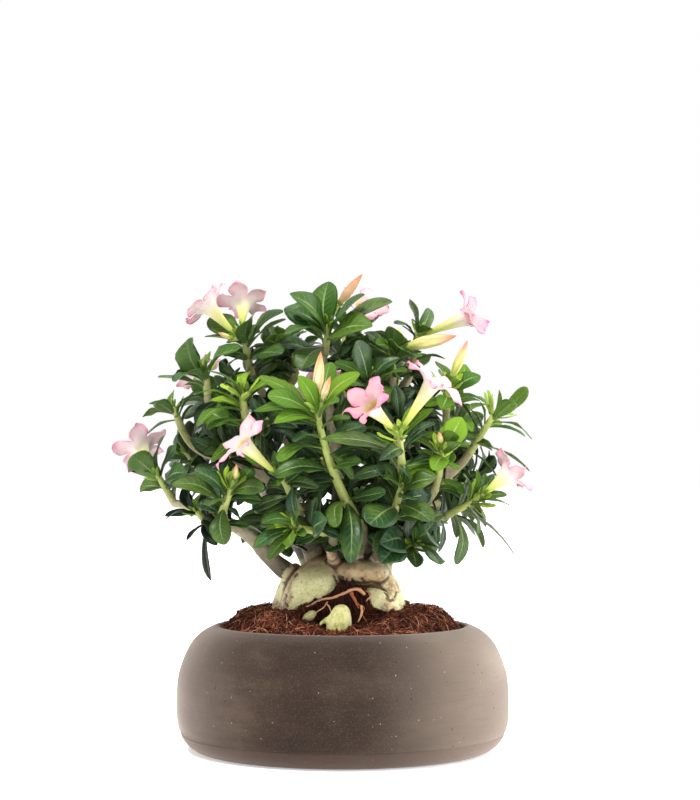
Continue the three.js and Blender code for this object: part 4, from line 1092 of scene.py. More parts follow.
def build_fibres(name, fibre_count, front):
    """Coir fibres: thin three-sided threads that curl over the surface and stand up here and there."""
    x, y = scattered(fibre_count)
    y = np.abs(y) * (-1 if front else 1)
    heading = CHANCE.uniform(0, 2 * np.pi, fibre_count)
    bend = CHANCE.normal(0, 1.5, fibre_count)
    length = CHANCE.uniform(*FIBRE_LENGTH, fibre_count)
    length += LONGER_BY * (CHANCE.uniform(0, 1, fibre_count) < LONG_FIBRES)
    lift = np.abs(CHANCE.normal(0, 1.1, fibre_count)) + 0.3
    wild = CHANCE.uniform(0, 1, fibre_count) < WILD_FIBRES
    lift[wild] = CHANCE.uniform(*WILD_LIFT, wild.sum())
    share = np.linspace(0, 1, FIBRE_STEPS)
    curl = CHANCE.uniform(0, 0.9, fibre_count)[:, None] * np.sin(
        share * CHANCE.uniform(3, 9, fibre_count)[:, None] + heading[:, None])
    way = heading[:, None] + bend[:, None] * (share - 0.5) + curl
    stride = length[:, None] / (FIBRE_STEPS - 1)
    px = x[:, None] + np.cumsum(np.cos(way), 1) * stride
    py = y[:, None] + np.cumsum(np.sin(way), 1) * stride
    far = np.hypot(px, py)
    arch = np.where(wild[:, None], share ** 1.3, np.sin(np.pi * share)) * lift[:, None]
    over = np.minimum(1.0, FIBRES_ON_COIR / far)
    pz = soil_height(px * over, py * over) + arch + 0.15
    pz = np.maximum(pz, np.clip((far - 102.5) / 3, 0, 1) * RIM_TOP)
    keep = far.max(1) < FIBRES_WITHIN
    points = np.stack([px, py, pz], -1)[keep]
    radius = CHANCE.uniform(*FIBRE_RADIUS, len(points))[:, None] * (1.05 - 0.55 * share)
    radius = np.where(wild[keep][:, None], 0.6, 1) * radius
    flat = np.stack([-np.sin(way), np.cos(way), 0 * way], -1)[keep]
    verts = []
    for angle in FIBRE_SIDES:
        verts.append(points + flat * (radius * math.cos(angle))[..., None]
                     + UP * (radius * math.sin(angle))[..., None])
    verts = np.stack(verts, 2)
    block = FIBRE_STEPS * len(FIBRE_SIDES)
    quads = grid_quads(FIBRE_STEPS, len(FIBRE_SIDES), wrap=True)
    caps = np.array([[0, 2, 1], [block - 3, block - 2, block - 1]])
    first = np.arange(len(points))[:, None, None] * block
    warm = CHANCE.beta(1.2, 1.7, len(points))
    # fibres under the caudex's arch lose their warmth: painted shade
    warm *= 1 - 0.7 * painted_arch_shade(points[:, 0, 0], points[:, 0, 1])
    tint = np.zeros((len(points), block, 3))
    tint[..., 0] = warm[:, None]
    piece = Piece()
    piece.add(verts.reshape(-1, 3), (quads + first).reshape(-1, 4), (caps + first).reshape(-1, 3),
              tint=tint.reshape(-1, 3))
    hand_over(piece.object(name, "fibre"), "coir")


def build_crumbs():
    """Crumbs of coir: small flat uneven lumps that lie on the surface."""
    ball = bmesh.new()
    bmesh.ops.create_icosphere(ball, subdivisions=1, radius=1)
    unit_verts = np.array([v.co for v in ball.verts])
    unit_tris = np.array([[v.index for v in f.verts] for f in ball.faces])
    ball.free()
    x, y = scattered(CRUMB_COUNT)
    size = CHANCE.gamma(2.2, 0.34, CRUMB_COUNT) + CRUMB_LEAST
    stretch = CHANCE.uniform(0.45, 1.6, (CRUMB_COUNT, 1, 3)) * (1, 1, 0.7)
    wobble = CHANCE.uniform(0.6, 1.3, (CRUMB_COUNT, len(unit_verts), 1))
    verts = unit_verts * stretch * wobble * size[:, None, None]
    spot = np.stack([x, y, soil_height(x, y) + 0.25 * size], -1)
    verts = verts + spot[:, None]
    first = np.arange(CRUMB_COUNT)[:, None, None] * len(unit_verts)
    tint = np.zeros(verts.shape)
    # crumbs under the caudex's arch are darker: painted shade
    tint[..., 0] = (CHANCE.uniform(0, 0.4, CRUMB_COUNT) * (1 - 0.8 * painted_arch_shade(x, y)))[:, None]
    piece = Piece()
    piece.add(verts.reshape(-1, 3), None, (unit_tris + first).reshape(-1, 3), tint=tint.reshape(-1, 3))
    hand_over(piece.object("coir_crumbs", "fibre"), "coir")


# Thin roots that lie bare on the caudex and the coir: points, two radii, how warm and how pale
FINE_ROOTS = [
    ([(18, -54, 134), (13, -58, 138), (8, -59, 138), (2, -58, 135.5), (-6, -58, 132.5), (-18, -57, 129),
      (-28, -56, 125), (-38, -54, 121)], (1.5, 0.6), 0.85, 0.45),
    ([(20, -50, 137), (24, -56, 134), (20, -60, 129)], (0.9, 0.5), 0.85, 0.1),
    ([(8, -60, 136), (11, -63, 130), (14, -64, 124)], (1.5, 0.6), 0.6, 0.0),
    ([(-12, -60, 128), (-16, -67, 124), (-22, -69, 119)], (0.7, 0.4), 0.9, 0.5),
    ([(-13, -61, 127), (-10, -70, 123), (-6, -76, 117)], (0.7, 0.4), 0.9, 0.4),
    ([(16, -68, 126), (15.5, -70, 120), (13, -71, 113)], (1.2, 0.6), 1.0, 0.9),
    ([(12, -62, 128), (18, -65, 124), (16, -68, 119), (21, -70, 113)], (0.5, 0.3), 0.7, 0.0),
]
FINE_ROOT_STEPS = 22


def build_fine_roots():
    piece = Piece()
    for points, (thick, thin), warm, light in FINE_ROOTS:
        line = catmull(points).line(np.linspace(0, 1, FINE_ROOT_STEPS))
        line += 0.9 * np.stack([noise(line, 7, k) for k in (4, 5, 6)], -1)
        radii = np.linspace(thick, thin, FINE_ROOT_STEPS) * (1 + 0.3 * noise(line, 2.5, 7))
        add_tube(piece, line, radii, 7, tint=(warm, light, 0))
    hand_over(piece.object("fine_roots", "fibre"), "bark")


# The wood: the caudex, its roots, the limbs and the twigs, joined and smoothed as one body

# Marks on the front of the caudex, as lines in the photograph's pixels with half a width: dark cracks
# and pits, and brown stains
CRACKS = [
    ([(297, 574), (292, 580), (289, 586), (287, 593), (285, 600), (286, 606)], -0.3),
    ([(295, 575.5), (297, 573.5)], 0.8), ([(285, 594), (286.5, 596)], 0.3),
    ([(286, 603), (287.5, 606)], 0.5), ([(291, 597), (293, 597)], 0.3),
    ([(277, 585), (278, 586)], 0.6), ([(333.8, 575), (335.4, 577)], 0.8),
    ([(335.6, 579), (336.9, 581)], 0.8), ([(337, 583), (338.4, 585)], 0.8),
    ([(354, 583), (364, 583), (372, 582), (379, 584), (385, 590), (388, 596)], 0.9),
    ([(387, 597), (390, 600), (394, 599)], 0.7), ([(397, 592), (394, 597), (391, 600)], 0.5),
    ([(381, 586), (390, 598)], 0.2), ([(352, 579), (353, 582)], 1.0), ([(282, 569), (285, 570)], 0.5),
    ([(362, 579), (364, 581)], 1.0),
]
STAINS = [
    ([(294, 571), (289, 583), (286, 600)], 3.0), ([(336, 566), (344, 576), (348, 584)], 5.5),
    ([(355, 568), (366, 576), (378, 577), (392, 588)], 6.0), ([(384, 601), (391, 607), (396, 616)], 2.6),
    ([(296, 611), (318, 602), (333, 597)], 1.6), ([(275, 602), (283, 609)], 2.5),
    ([(296, 566), (330, 556)], 4.0),
]
CRACK_BLUR, STAIN_BLUR = 1.3, 3.2
CRACK_DEPTH = 1.0
# Noises as height, size and seed: of the marks' edges, and of the bark's relief
RAGGED = [(0.9, 3.2, 21), (0.5, 1.6, 22)]
BARK_RELIEF = [(0.5, 13, 8), (0.3, 4.5, 9), (0.14, 1.8, 10)]
MARKED_FRONT = 8  # marks are kept in front of this depth
YOUTH_REACH = 2.6  # how many radii from a limb's axis its colour reaches
HOLLOW_GAIN = 3.5  # how fast painted shade darkens the bark in its hollows
POLE_GAP = 0.04  # radians between a lobe's end and its first ring
WOOD_VOXEL = 1.5 * MM
WOOD_SMOOTHING = 6
# Limbs swell at their feet, the short front ones less than the others
FOOT_FLARE = 0.45
FLARE = dict(front=0.1, lowFront=0.1, rightFront=0.2)
TWIG_FLARE = 1.2
LIMB_STEP = 3  # between the rings of a limb


def lobe_points(lobe, rows=26, sides=36):
    down = np.linspace(POLE_GAP, np.pi - POLE_GAP, rows)[:, None]
    around = circle(sides)
    square = lobe.get("square", 1)
    girth, level = np.sin(down) ** square, np.sign(np.cos(down)) * np.abs(np.cos(down)) ** square
    x, y, z = (axis * r for axis, r in zip(
        (girth * np.cos(around), girth * np.sin(around), level + 0 * around), lobe["radii"]))
    c, s = math.cos(math.radians(lobe["turn"])), math.sin(math.radians(lobe["turn"]))
    return np.stack([x * c + z * s, y, z * c - x * s], -1) + np.array(lobe["centre"])


def vertex_arrays(mesh):
    count = len(mesh.vertices)
    spots, normals = np.zeros(count * 3), np.zeros(count * 3)
    mesh.vertices.foreach_get("co", spots)
    mesh.vertices.foreach_get("normal", normals)
    edges = np.zeros(len(mesh.edges) * 2, int)
    mesh.edges.foreach_get("vertices", edges)
    return spots.reshape(-1, 3), normals.reshape(-1, 3), edges.reshape(-1, 2)


def hollowness(spots, normals, edges):
    """How far each vertex lies below its neighbours, in millimetres, spread a few steps around it."""
    def average(values):
        total, number = np.zeros_like(values), np.zeros(len(values))
        for a, b in ((0, 1), (1, 0)):
            np.add.at(total, edges[:, a], values[edges[:, b]])
            np.add.at(number, edges[:, a], 1)
        return total / np.maximum(number, 1).reshape(-1, *[1] * (values.ndim - 1))
    depth = ((average(average(average(spots))) - spots) * normals).sum(1) / MM
    return average(average(depth))


def marked(spots, lines, blur):
    """How strongly each point is marked by the lines, from 0 to 1."""
    seen = in_picture(spots)
    ragged = layered(spots, RAGGED)
    strongest = np.zeros(len(spots))
    for line, half in lines:
        corners = np.array(line, float)
        nearest = np.full(len(spots), 1e9)
        for a, b in zip(corners[:-1], corners[1:]):
            share = np.clip(((seen - a) @ (b - a)) / ((b - a) @ (b - a)), 0, 1)
            nearest = np.minimum(nearest, np.linalg.norm(seen - a - share[:, None] * (b - a), axis=1))
        reach = half + 0.35 * abs(half) * ragged
        strongest = np.maximum(strongest, 1 - smoothstep((nearest - reach) / blur))
    return strongest


def rough_wood(piece):
    """Adds the wood's parts, and gives points on them: spot, radius, youth, and if it is a tuber."""
    skeleton = []
    for lobe in LOBES:
        rings = lobe_points(lobe)
        add_rings(piece, rings, rings[0].mean(0), rings[-1].mean(0))
        for spot in lobe_points(lobe, 7, 8).reshape(-1, 3):
            skeleton.append((spot, 8, 0, lobe.get("young", 0)))
    for root in ROOTS:
        shares = np.linspace(0, 1, 12)
        line = catmull(root["points"]).line(shares)
        add_tube(piece, line, mix(root["radii"][0], root["radii"][1], shares), 12)
        skeleton += [(spot, 4, 0, root["young"]) for spot in line]
    for name, (to, radius, _) in LIMBS.items():
        curve = LIMB_CURVES[name]
        shares = np.linspace(0, 1, int(curve.length / LIMB_STEP))
        line = curve.line(shares)
        swell = 1 + FLARE.get(name, FOOT_FLARE) * np.exp(-9 * shares)
        radii = mix(radius, SHOOT_NAMED[to]["radius"], shares) * swell
        add_tube(piece, line, radii, 14)
        skeleton += [(p, r, 0.25 + 0.45 * t, 0) for p, r, t in zip(line, radii, shares)]
    for s in SHOOTS:
        if s["at"]:
            shares = np.linspace(0, 1, int(s["below"].length / LIMB_STEP))
            line = s["below"].line(shares)
            radii = STEM_RADIUS + TWIG_FLARE * (1 - shares)
            add_tube(piece, line, radii, 12)
            skeleton += [(p, r, 0.45 + 0.4 * t, 0) for p, r, t in zip(line, radii, shares)]
    return skeleton


def joined(piece):
    """The piece's parts as one closed, smoothed mesh."""
    rough = piece.object("wood_rough")
    remesh = rough.modifiers.new("join", "REMESH")
    remesh.mode, remesh.voxel_size = "VOXEL", WOOD_VOXEL
    smooth = rough.modifiers.new("smooth", "SMOOTH")
    smooth.factor, smooth.iterations = 0.5, WOOD_SMOOTHING
    graph = bpy.context.evaluated_depsgraph_get()
    mesh = bpy.data.meshes.new_from_object(rough.evaluated_get(graph))
    bpy.data.objects.remove(rough)
    return mesh


def build_wood():
    piece = Piece()
    skeleton = rough_wood(piece)
    mesh = joined(piece)
    tree = KDTree(len(skeleton))
    for i, (spot, *_) in enumerate(skeleton):
        tree.insert(Vector(spot), i)
    tree.balance()
    spots, normals, edges = vertex_arrays(mesh)
    places = spots / MM
    tints = np.zeros_like(places)
    for i, spot in enumerate(places):
        _, nearest, apart = tree.find(Vector(spot))
        _, radius, youth, tuber = skeleton[nearest]
        tints[i, :2] = youth * min(1, max(0, YOUTH_REACH - apart / radius)), tuber
    # painted shade in the bark's hollows
    tints[:, 2] = np.clip(hollowness(spots, normals, edges) * HOLLOW_GAIN, 0, 1)
    is_front = (normals[:, 1] < 0.1) & (places[:, 1] < MARKED_FRONT)
    marks = np.zeros_like(places)
    marks[:, 0] = marked(places, STAINS, STAIN_BLUR) * is_front
    marks[:, 1] = marked(places, CRACKS, CRACK_BLUR) * is_front
    relief = layered(places, BARK_RELIEF) - CRACK_DEPTH * marks[:, 1]
    spots = spots + normals * (relief * MM)[:, None]
    mesh.vertices.foreach_set("co", spots.reshape(-1))
    mesh.update()
    set_attribute(mesh, "tint", tints)
    set_attribute(mesh, "place", marks)
    mesh.shade_smooth()
    mesh.materials.clear()
    mesh.materials.append(MATERIAL["bark"])
    made = bpy.data.objects.new("caudex_and_branches_bark", mesh)
    bpy.context.scene.collection.objects.link(made)
    hand_over(made, "bark", "caudex_and_branches")


# Flowers and buds

# The tube's radius by the share of its length
COROLLA_PROFILE = [(0, 2.0), (0.2, 2.3), (0.45, 3.4), (0.7, 4.6), (0.88, 5.9), (1.0, 7.0)]
MOUTH = 7.0
FUSED = 0.28  # the share of their length for which the lobes are still one funnel
LOBES_ROUND = 5
LOBE_ANGLE = 360 / LOBES_ROUND
LOBE_HALF = 0.53  # half a lobe's width, as a share of its length
# Flowers with narrower and more pointed lobes than most
LOBE_SLIM = dict(flower_centre_open=0.72, flower_left=0.76, flower_low_right=0.9)
LOBE_ROWS = FUSED + (1 - FUSED) * np.array(
    [0, 0.09, 0.18, 0.28, 0.39, 0.5, 0.61, 0.72, 0.82, 0.9, 0.96, 0.997])
LOBE_COLUMNS = np.array([-1, -0.85, -0.62, -0.32, 0, 0.32, 0.62, 0.85, 1])
PETAL_THICKNESS, TUBE_WALL = 0.45, 0.6
# Rings of the outer and the inner skin: below 0 they count down the tube, above it out along the lobes
OUTER_STEPS = np.concatenate([np.linspace(-1, 0, 12), [FUSED / 3, FUSED * 2 / 3, FUSED]])
INNER_STEPS = np.concatenate([[FUSED, FUSED * 2 / 3, FUSED / 3], np.linspace(0, -0.6, 8)])
# How lobes differ: in tilt by degrees, in length, in how ragged their edge is and how they roll in
TILT_VARIES, LENGTH_VARIES, EDGE_RAGGED = 7, 0.05, 0.05
ROLL, ROLL_VARIES = 0.6, 0.5
FLUTE = 0.045  # the five shallow flutes of the tube
# The threads in the throat, by the share of the tube's length
THREAD_SPAN, THREAD_STEPS = (0.5, 1.16), 7
THREAD_RADII = (0.4, 0.16)


def flower_axes(foot, mouth):
    foot, mouth = np.array(foot, float), np.array(mouth, float)
    axis = unit(mouth - foot)
    east = unit(np.cross(UP, axis))
    return foot, mouth, axis, east, np.cross(axis, east)


def index_quads(index):
    """Quads over a grid of vertex numbers."""
    corners = [index[:-1, :-1], index[:-1, 1:], index[1:, 1:], index[1:, :-1]]
    return np.stack(corners, -1).reshape(-1, 4)


def build_flower(name, on, foot, mouth, size, lean, curl, spin, pink):
    """One closed skin: up the tube, over the five lobes and down into the throat; and five threads."""
    foot, mouth, axis, east, north = flower_axes(foot, mouth)
    length = np.linalg.norm(mouth - foot)
    per_lobe = len(LOBE_COLUMNS) - 1
    columns = LOBES_ROUND * per_lobe
    turns = LOBE_ANGLE * (np.arange(LOBES_ROUND)[:, None] + 0.5 + LOBE_COLUMNS[:-1] / 2)
    angles = np.radians(turns.reshape(-1))

    def ray(angle):
        angle = angle + math.radians(spin)
        return np.cos(angle)[..., None] * east + np.sin(angle)[..., None] * north

    def lean_at(u):
        return np.radians(lean + curl * u)

    def rings(steps, inset):
        u, down = np.maximum(steps, 0), 1 + np.minimum(steps, 0)
        radii = np.interp(down, *zip(*COROLLA_PROFILE)) + size * u * np.sin(lean_at(u)) - inset
        forward = length * down + size * u * np.cos(lean_at(u))
        flute = 1 - FLUTE * down[:, None] * np.cos(LOBES_ROUND * angles)
        return (foot + axis * forward[:, None, None]
                + ray(np.broadcast_to(angles, flute.shape)) * (radii[:, None] * flute)[..., None])

    def ring_places(steps, side):
        along = np.where(steps < 0, 0.5 * (1 + steps), 0.5 + 0.5 * steps)
        across = np.tile(LOBE_COLUMNS[:-1], LOBES_ROUND)
        grid = np.zeros((len(steps), columns, 3))
        grid[..., 0], grid[..., 1], grid[..., 2] = across, along[:, None], side
        return grid.reshape(-1, 3)

    outer, inner = rings(OUTER_STEPS, 0), rings(INNER_STEPS, TUBE_WALL)
    n, m = len(OUTER_STEPS), len(INNER_STEPS)
    verts = [outer.reshape(-1, 3), inner.reshape(-1, 3), outer[:1].mean(1), inner[-1:].mean(1)]
    places = [ring_places(OUTER_STEPS, -1), ring_places(INNER_STEPS, 1), [[0, 0, -1]], [[0, 0.2, 1]]]
    throat = n * columns
    bottom = throat + m * columns
    tris = [end_fans(bottom, columns)]
    quads = [grid_quads(n, columns, wrap=True), grid_quads(m, columns, wrap=True) + throat]

    u, w = LOBE_ROWS[:, None], LOBE_COLUMNS[None, :]
    free = (u - FUSED) / (1 - FUSED)
    count = bottom + 2
    slim = LOBE_SLIM.get(name, 1.0)
    rim_half = math.radians(LOBE_ANGLE / 2) * (MOUTH + size * FUSED * math.sin(lean_at(FUSED)))

    def lobe_sheets(lobe):
        """The lower and the upper sheet of one lobe, as grids of points."""
        bias = CHANCE.uniform(-1, 1, 6)
        middle = np.radians(LOBE_ANGLE * (lobe + 0.5)) + 0 * u
        tilt = lean_at(u) + np.radians(TILT_VARIES * bias[0] * smoothstep(free / 0.5))
        out = MOUTH + size * u * np.sin(tilt)
        forward = length + size * u * np.cos(tilt) * (1 + LENGTH_VARIES * bias[5] * free)
        ragged = 1 + EDGE_RAGGED * np.sin(15 * u + 3 * bias[3])
        half = (mix(rim_half, LOBE_HALF * size * slim, smoothstep(free / 0.42))
                * (1 - free ** (2.5 * slim ** 2)) ** 0.85 * ragged)
        roll = (ROLL + ROLL_VARIES * bias[4]) * smoothstep(free / 0.5) + 1e-3
        wide = half * np.sin(roll * w) / roll
        back = half * (1 - np.cos(roll * w)) / roll
        conical = ray(middle + wide / out) * out[..., None]
        level = ray(middle) * out[..., None] + ray(middle + np.pi / 2) * wide[..., None]
        spread = mix(conical, level, smoothstep(free / 0.6)[..., None])
        face = axis * np.sin(tilt)[..., None] - ray(middle) * np.cos(tilt)[..., None]
        wave = np.abs(w) ** 2 * np.sin(10 * u + 3 * bias[1] + 2 * np.sign(w))
        lifted = smoothstep(free / 0.35) * size * (
            0.08 * w + (0.06 + 0.05 * pink) * wave - 0.08 * (1 + bias[2]) * free ** 3)
        under = foot + axis * forward[..., None] + spread + face * (lifted - back)[..., None]
        normal = np.cross(np.gradient(under, axis=1), np.gradient(under, axis=0))
        normal /= np.linalg.norm(normal, axis=-1)[..., None] + 1e-9
        normal *= np.sign((normal * face).sum(-1))[..., None]
        return under, under + normal * PETAL_THICKNESS

    for lobe in range(LOBES_ROUND):
        under, upper = lobe_sheets(lobe)
        rows, cols = under.shape[:2]
        rim = (lobe * per_lobe + np.arange(cols)) % columns
        outside = count + np.arange((rows - 1) * cols).reshape(rows - 1, cols)
        outside = np.concatenate([[(n - 1) * columns + rim], outside])
        within = outside.copy()
        within[0] = throat + rim
        first = count + (rows - 1) * cols
        within[1:-1, 1:-1] = first + np.arange((rows - 2) * (cols - 2)).reshape(rows - 2, cols - 2)
        count = first + (rows - 2) * (cols - 2)
        quads += [index_quads(outside), index_quads(within)]
        tris.append([[outside[0, i], within[0, i], outside[1, i]] for i in (0, -1)])
        place = np.stack([w + 0 * u, 0.5 + 0.5 * u + 0 * w, -1 + 0 * u * w], -1)
        verts += [under[1:].reshape(-1, 3), upper[1:-1, 1:-1].reshape(-1, 3)]
        places += [place[1:].reshape(-1, 3), (place[1:-1, 1:-1] * (1, 1, -1)).reshape(-1, 3)]
    piece = Piece()
    piece.add(np.concatenate(verts), np.concatenate(quads), np.concatenate(tris),
              tint=(pink, CHANCE.uniform(0, 1), 0), place=np.concatenate(places))
    heights = np.linspace(*THREAD_SPAN, THREAD_STEPS)
    for k in range(LOBES_ROUND):
        aside = ray(np.array(math.radians(LOBE_ANGLE * k)))
        line = np.array([foot + axis * length * h + aside * (0.6 + 1.6 * (h - 0.5) ** 2)
                         for h in heights])
        add_tube(piece, line, np.linspace(*THREAD_RADII, THREAD_STEPS), 5, tint=(0, 0, 0.8))
    crowd.take(outer[::3, ::5].reshape(-1, 3), shown=True)
    hand_over(piece.object(name + "_petals", "petal"), "petal", name)


def lobe_probes(name, on, foot, mouth, size, lean, curl, spin, pink):
    """Points over a flower's lobes, so that leaves keep clear of them."""
    foot, mouth, axis, east, north = flower_axes(foot, mouth)
    points = []
    for angle in np.radians(spin + np.arange(0, 360, 24)):
        ray = east * math.cos(angle) + north * math.sin(angle)
        for u in (0.3, 0.65, 1.0):
            tilt = math.radians(lean + curl * u)
            out, forward = MOUTH + size * u * math.sin(tilt), size * u * math.cos(tilt)
            points.append(mouth + ray * out + axis * forward)
    return np.array(points)


# The share of a bud's length that is its neck, and its girth by the share of its length
BUD_NECK = 0.12
BUD_PROFILE = [(0, 1.5), (BUD_NECK, 0.62), (0.35, 1.0), (0.66, 0.86), (0.88, 0.42), (0.97, 0.14),
               (1, 0.03)]
BUD_STEPS, BUD_SIDES = 26, 30


def build_bud(name, on, foot, point, radius, green):
    foot, point = np.array(foot, float), np.array(point, float)
    t = np.linspace(0, 1, BUD_STEPS)
    girth = np.interp(t, *zip(*BUD_PROFILE)) * radius
    is_neck = t < BUD_NECK
    girth[is_neck] = np.interp(t[is_neck], [0, BUD_NECK], [1.5, 0.62 * radius + 0.5])
    for _ in range(2):
        girth[1:-1] = (girth[:-2] + 2 * girth[1:-1] + girth[2:]) / 4
    spiral = np.cos(LOBES_ROUND * circle(BUD_SIDES) + 3.5 * t[:, None])
    flutes = 1 + 0.09 * (1 - np.abs(2 * t - 1) ** 3)[:, None] * spiral
    side = unit(np.cross(point - foot, UP))
    line = foot + (point - foot) * t[:, None] + side * (0.05 * radius * np.sin(3 * t))[:, None]
    piece = Piece()
    add_tube(piece, line, girth, BUD_SIDES, tint=(green, 0, 0), flutes=flutes)
    crowd.take(line[::2], shown=True)
    hand_over(piece.object(name + "_spiral", "bud"), "bud", name)


# Shoots

# Shoots whose leaves the photograph shows brighter, or darker, than their age tells; for the darker ones
# this is painted shade
BRIGHT = dict(right_mid=0.36, right_inner=-0.08, low_centre=-0.02, left_bud=0.2, right_bud=0.22,
              upper_right=0.15, front_stem=0.03, far_right=0.15, low_left=-0.5,
              left_upper=0.1, centre_dark=-0.3, right_dark=-0.3, left_inner=-0.2, low_right=-0.1)
# Shoots whose leaves the photograph shows broader than the rest, or narrower
BROAD = dict(top_centre=1.28, top_left=1.2, left_upper=1.25, far_left=1.15, low_right=1.1,
             upper_right=1.15, low_left=0.72)
# Shoots whose leaves the photograph shows in deep shade, painted into their colour
SHADED = dict(low_left=0.9, centre_dark=0.35, right_dark=0.35, left_low_back=0.3)
# The crown as an ellipsoid, and how far added leaves may reach
CROWN_CENTRE, CROWN_RADII = np.array([0.0, 0.0, 268.0]), np.array([150.0, 112.0, 108.0])
CROWN_FRONT, CROWN_BACK, CROWN_SIDE, CROWN_TOP = -128, 134, 165, 394
CROWN_LOWEST, CROWN_LOWEST_BACK, BACK_FROM = 168, 154, 25
# Added leaves on a shoot in front and at the back, their turn from one to the next in radians, how far
# down from the tip they stand, how far they open in degrees, and the tries at each
ADDED_FRONT, ADDED_BACK = 13, 15
ADDED_TURN = 2.4
ADDED_FROM, ADDED_OVER = 3, 44
ADDED_OPENING = (26, 92)
ADDED_TRIES = 9
TUFT_YOUNG, TUFT_OLD = 11, 7  # how many small leaves stand at a tip
STEM_ROOT, STEM_STEPS = 2.0, 14  # how far a stem reaches down into the wood, and its rings
BACK_TIP = 15  # shoots whose tips stand behind this depth are at the back
# Leaves are younger and brighter in the sun, from this height over this span, which is partly painted
# light on the crown's top; and younger near the tip, most if also short: the two shares for a young
# shoot and for an old one
SUNLIT_FROM, SUNLIT_OVER, SUNLIT = 215, 130, 0.15
TIP_YOUTH = {1: (0.30, 0.42), 0: (0.14, 0.25)}
SEPAL_WIDTH = 2.6


def youth_of(s, at, length, is_small=False):
    """How young a leaf is, from 0 to 1: young ones stand high, near the tip, and are short; standing
    high also gives painted light to the crown's top.
    """
    if is_small:
        return CHANCE.uniform(0.8, 1.0) if s["young"] else CHANCE.uniform(0.55, 0.9)
    sunlit = smoothstep((s["tip"][2] - SUNLIT_FROM) / SUNLIT_OVER)
    near_tip = smoothstep((at - 0.45) / 0.5)
    short = smoothstep((1.1 - length / s["size"]) / 0.6)
    high, high_and_short = TIP_YOUTH[s["young"]]
    youth = SUNLIT * sunlit + high * near_tip + high_and_short * near_tip * short
    youth += CHANCE.uniform(-0.1, 0.14)
    youth += BRIGHT.get(s["name"], 0)
    return float(np.clip(youth, 0, 1))


def shade_of(s, leaf):
    """How much painted shade darkens a leaf for its place: those inside the crown are darker."""
    middle = leaf["start"] + leaf["along"] * leaf["length"] * 0.6
    depth = np.linalg.norm((middle - CROWN_CENTRE) / CROWN_RADII)
    return min(0.9, SHADED.get(s["name"], 0) + 0.6 * smoothstep((0.88 - depth) / 0.45))


def leaf_tint(youth, shade=0.0):
    return (youth, CHANCE.uniform(0, 1), shade)


def from_tip(s, distance):
    """The point and direction on a shoot's axis at this distance down from its tip, into its wood."""
    curve, below = s["curve"], s["below"]
    if distance <= curve.length:
        share = 1 - distance / curve.length
        return curve.point_at(share), curve.tangent_at(share)
    share = max(0.0, 1 - (distance - curve.length) / below.length)
    return below.point_at(share), below.tangent_at(share)


def is_allowed(points):
    """Whether an added leaf stays in the crown: in the photograph's outline and in the CAD's depth."""
    x, y, z = points.T
    lowest = CROWN_LOWEST if y.min() < BACK_FROM else CROWN_LOWEST_BACK
    if y.min() < CROWN_FRONT or y.max() > CROWN_BACK or np.abs(x).max() > CROWN_SIDE:
        return False
    if z.min() < lowest or z.max() > CROWN_TOP:
        return False
    return inside(CROWN_OUTLINE, in_picture(points[3:])).all()


def seek_leaf(start, axis, outward, turn, opening, length, slim, droop):
    """The first of several tries at a leaf that has room, or None."""
    aside = across_from(axis)
    for attempt in range(ADDED_TRIES):
        spin = turn + CHANCE.uniform(-0.5, 0.5) * attempt * 0.6
        lean = opening + CHANCE.uniform(-0.25, 0.2) * min(attempt, 4)
        reach = length * (1 - 0.04 * attempt)
        way = axis * math.cos(lean) + turned(aside, axis, spin) * math.sin(lean) - UP * droop
        facing = axis + 0.9 * outward + 0.5 * UP
        roll = math.radians(CHANCE.uniform(-22, 22))
        leaf = leaf_frame(start, start + unit(way) * reach, facing, roll, slim * reach)
        leaf["arch"] = CHANCE.uniform(0.05, 0.13)
        points = probes_of(leaf)
        is_clear = is_allowed(points) and crowd.clearance(points[2:]) > LEAF_CLEARANCE
        if is_clear and crowd.hides(points) <= MOST_HIDDEN:
            crowd.take(points[1:])
            return leaf
    return None


def add_sepals(piece, foot, heading, youth, spin, size=7.0):
    """Five small green sepals around the foot of a flower or bud."""
    side = across_from(heading)
    for k in range(LOBES_ROUND):
        aside = turned(side, heading, math.radians(LOBE_ANGLE * k) + spin)
        start = foot - heading * 1.2 + aside * 0.8
        tip = start + heading * size * 0.93 + aside * size * 0.36
        leaf = leaf_frame(start, tip, heading * 0.1 - aside, 0, SEPAL_WIDTH)
        leaf["arch"] = -0.06
        add_leaf(piece, leaf, leaf_tint(youth), small=True)


def add_stalk(piece, s, foot, mouth):
    foot, mouth = np.array(foot, float), np.array(mouth, float)
    heading = unit(mouth - foot)
    top = foot + heading * 0.3
    curve = bezier(s["curve"].point(STALK_FROM), top - heading * 3, top)
    line = np.array([curve.point(t) for t in np.linspace(0, 1, 8)])
    add_tube(piece, line, np.linspace(STALK_RADIUS, STALK_END - 0.3, 8), 9, 1, (0.9, 0, 0))
    return heading


def add_filling(piece, s, number):
    """More leaves along a shoot and down its wood, each where it finds room."""
    outward = unit([s["tip"][0], s["tip"][1], 0])
    count = ADDED_BACK if s["tip"][1] > BACK_TIP else ADDED_FRONT
    for k in range(count):
        age = (k + 0.5) / count
        start, axis = from_tip(s, ADDED_FROM + ADDED_OVER * age ** 1.15)
        turn = ADDED_TURN * k + number
        opening = math.radians(mix(*ADDED_OPENING, age))
        length = s["size"] * mix(0.62, 1.0, smoothstep(age * 1.6)) * CHANCE.uniform(0.85, 1.1)
        slim = s["slim"] * CHANCE.uniform(0.8, 1.05) * BROAD.get(s["name"], 1)
        leaf = seek_leaf(start, axis, outward, turn, opening, length, slim, 0.3 * age)
        if leaf:
            youth = youth_of(s, 1 - age, leaf["length"])
            add_leaf(piece, leaf, leaf_tint(youth, shade_of(s, leaf)))


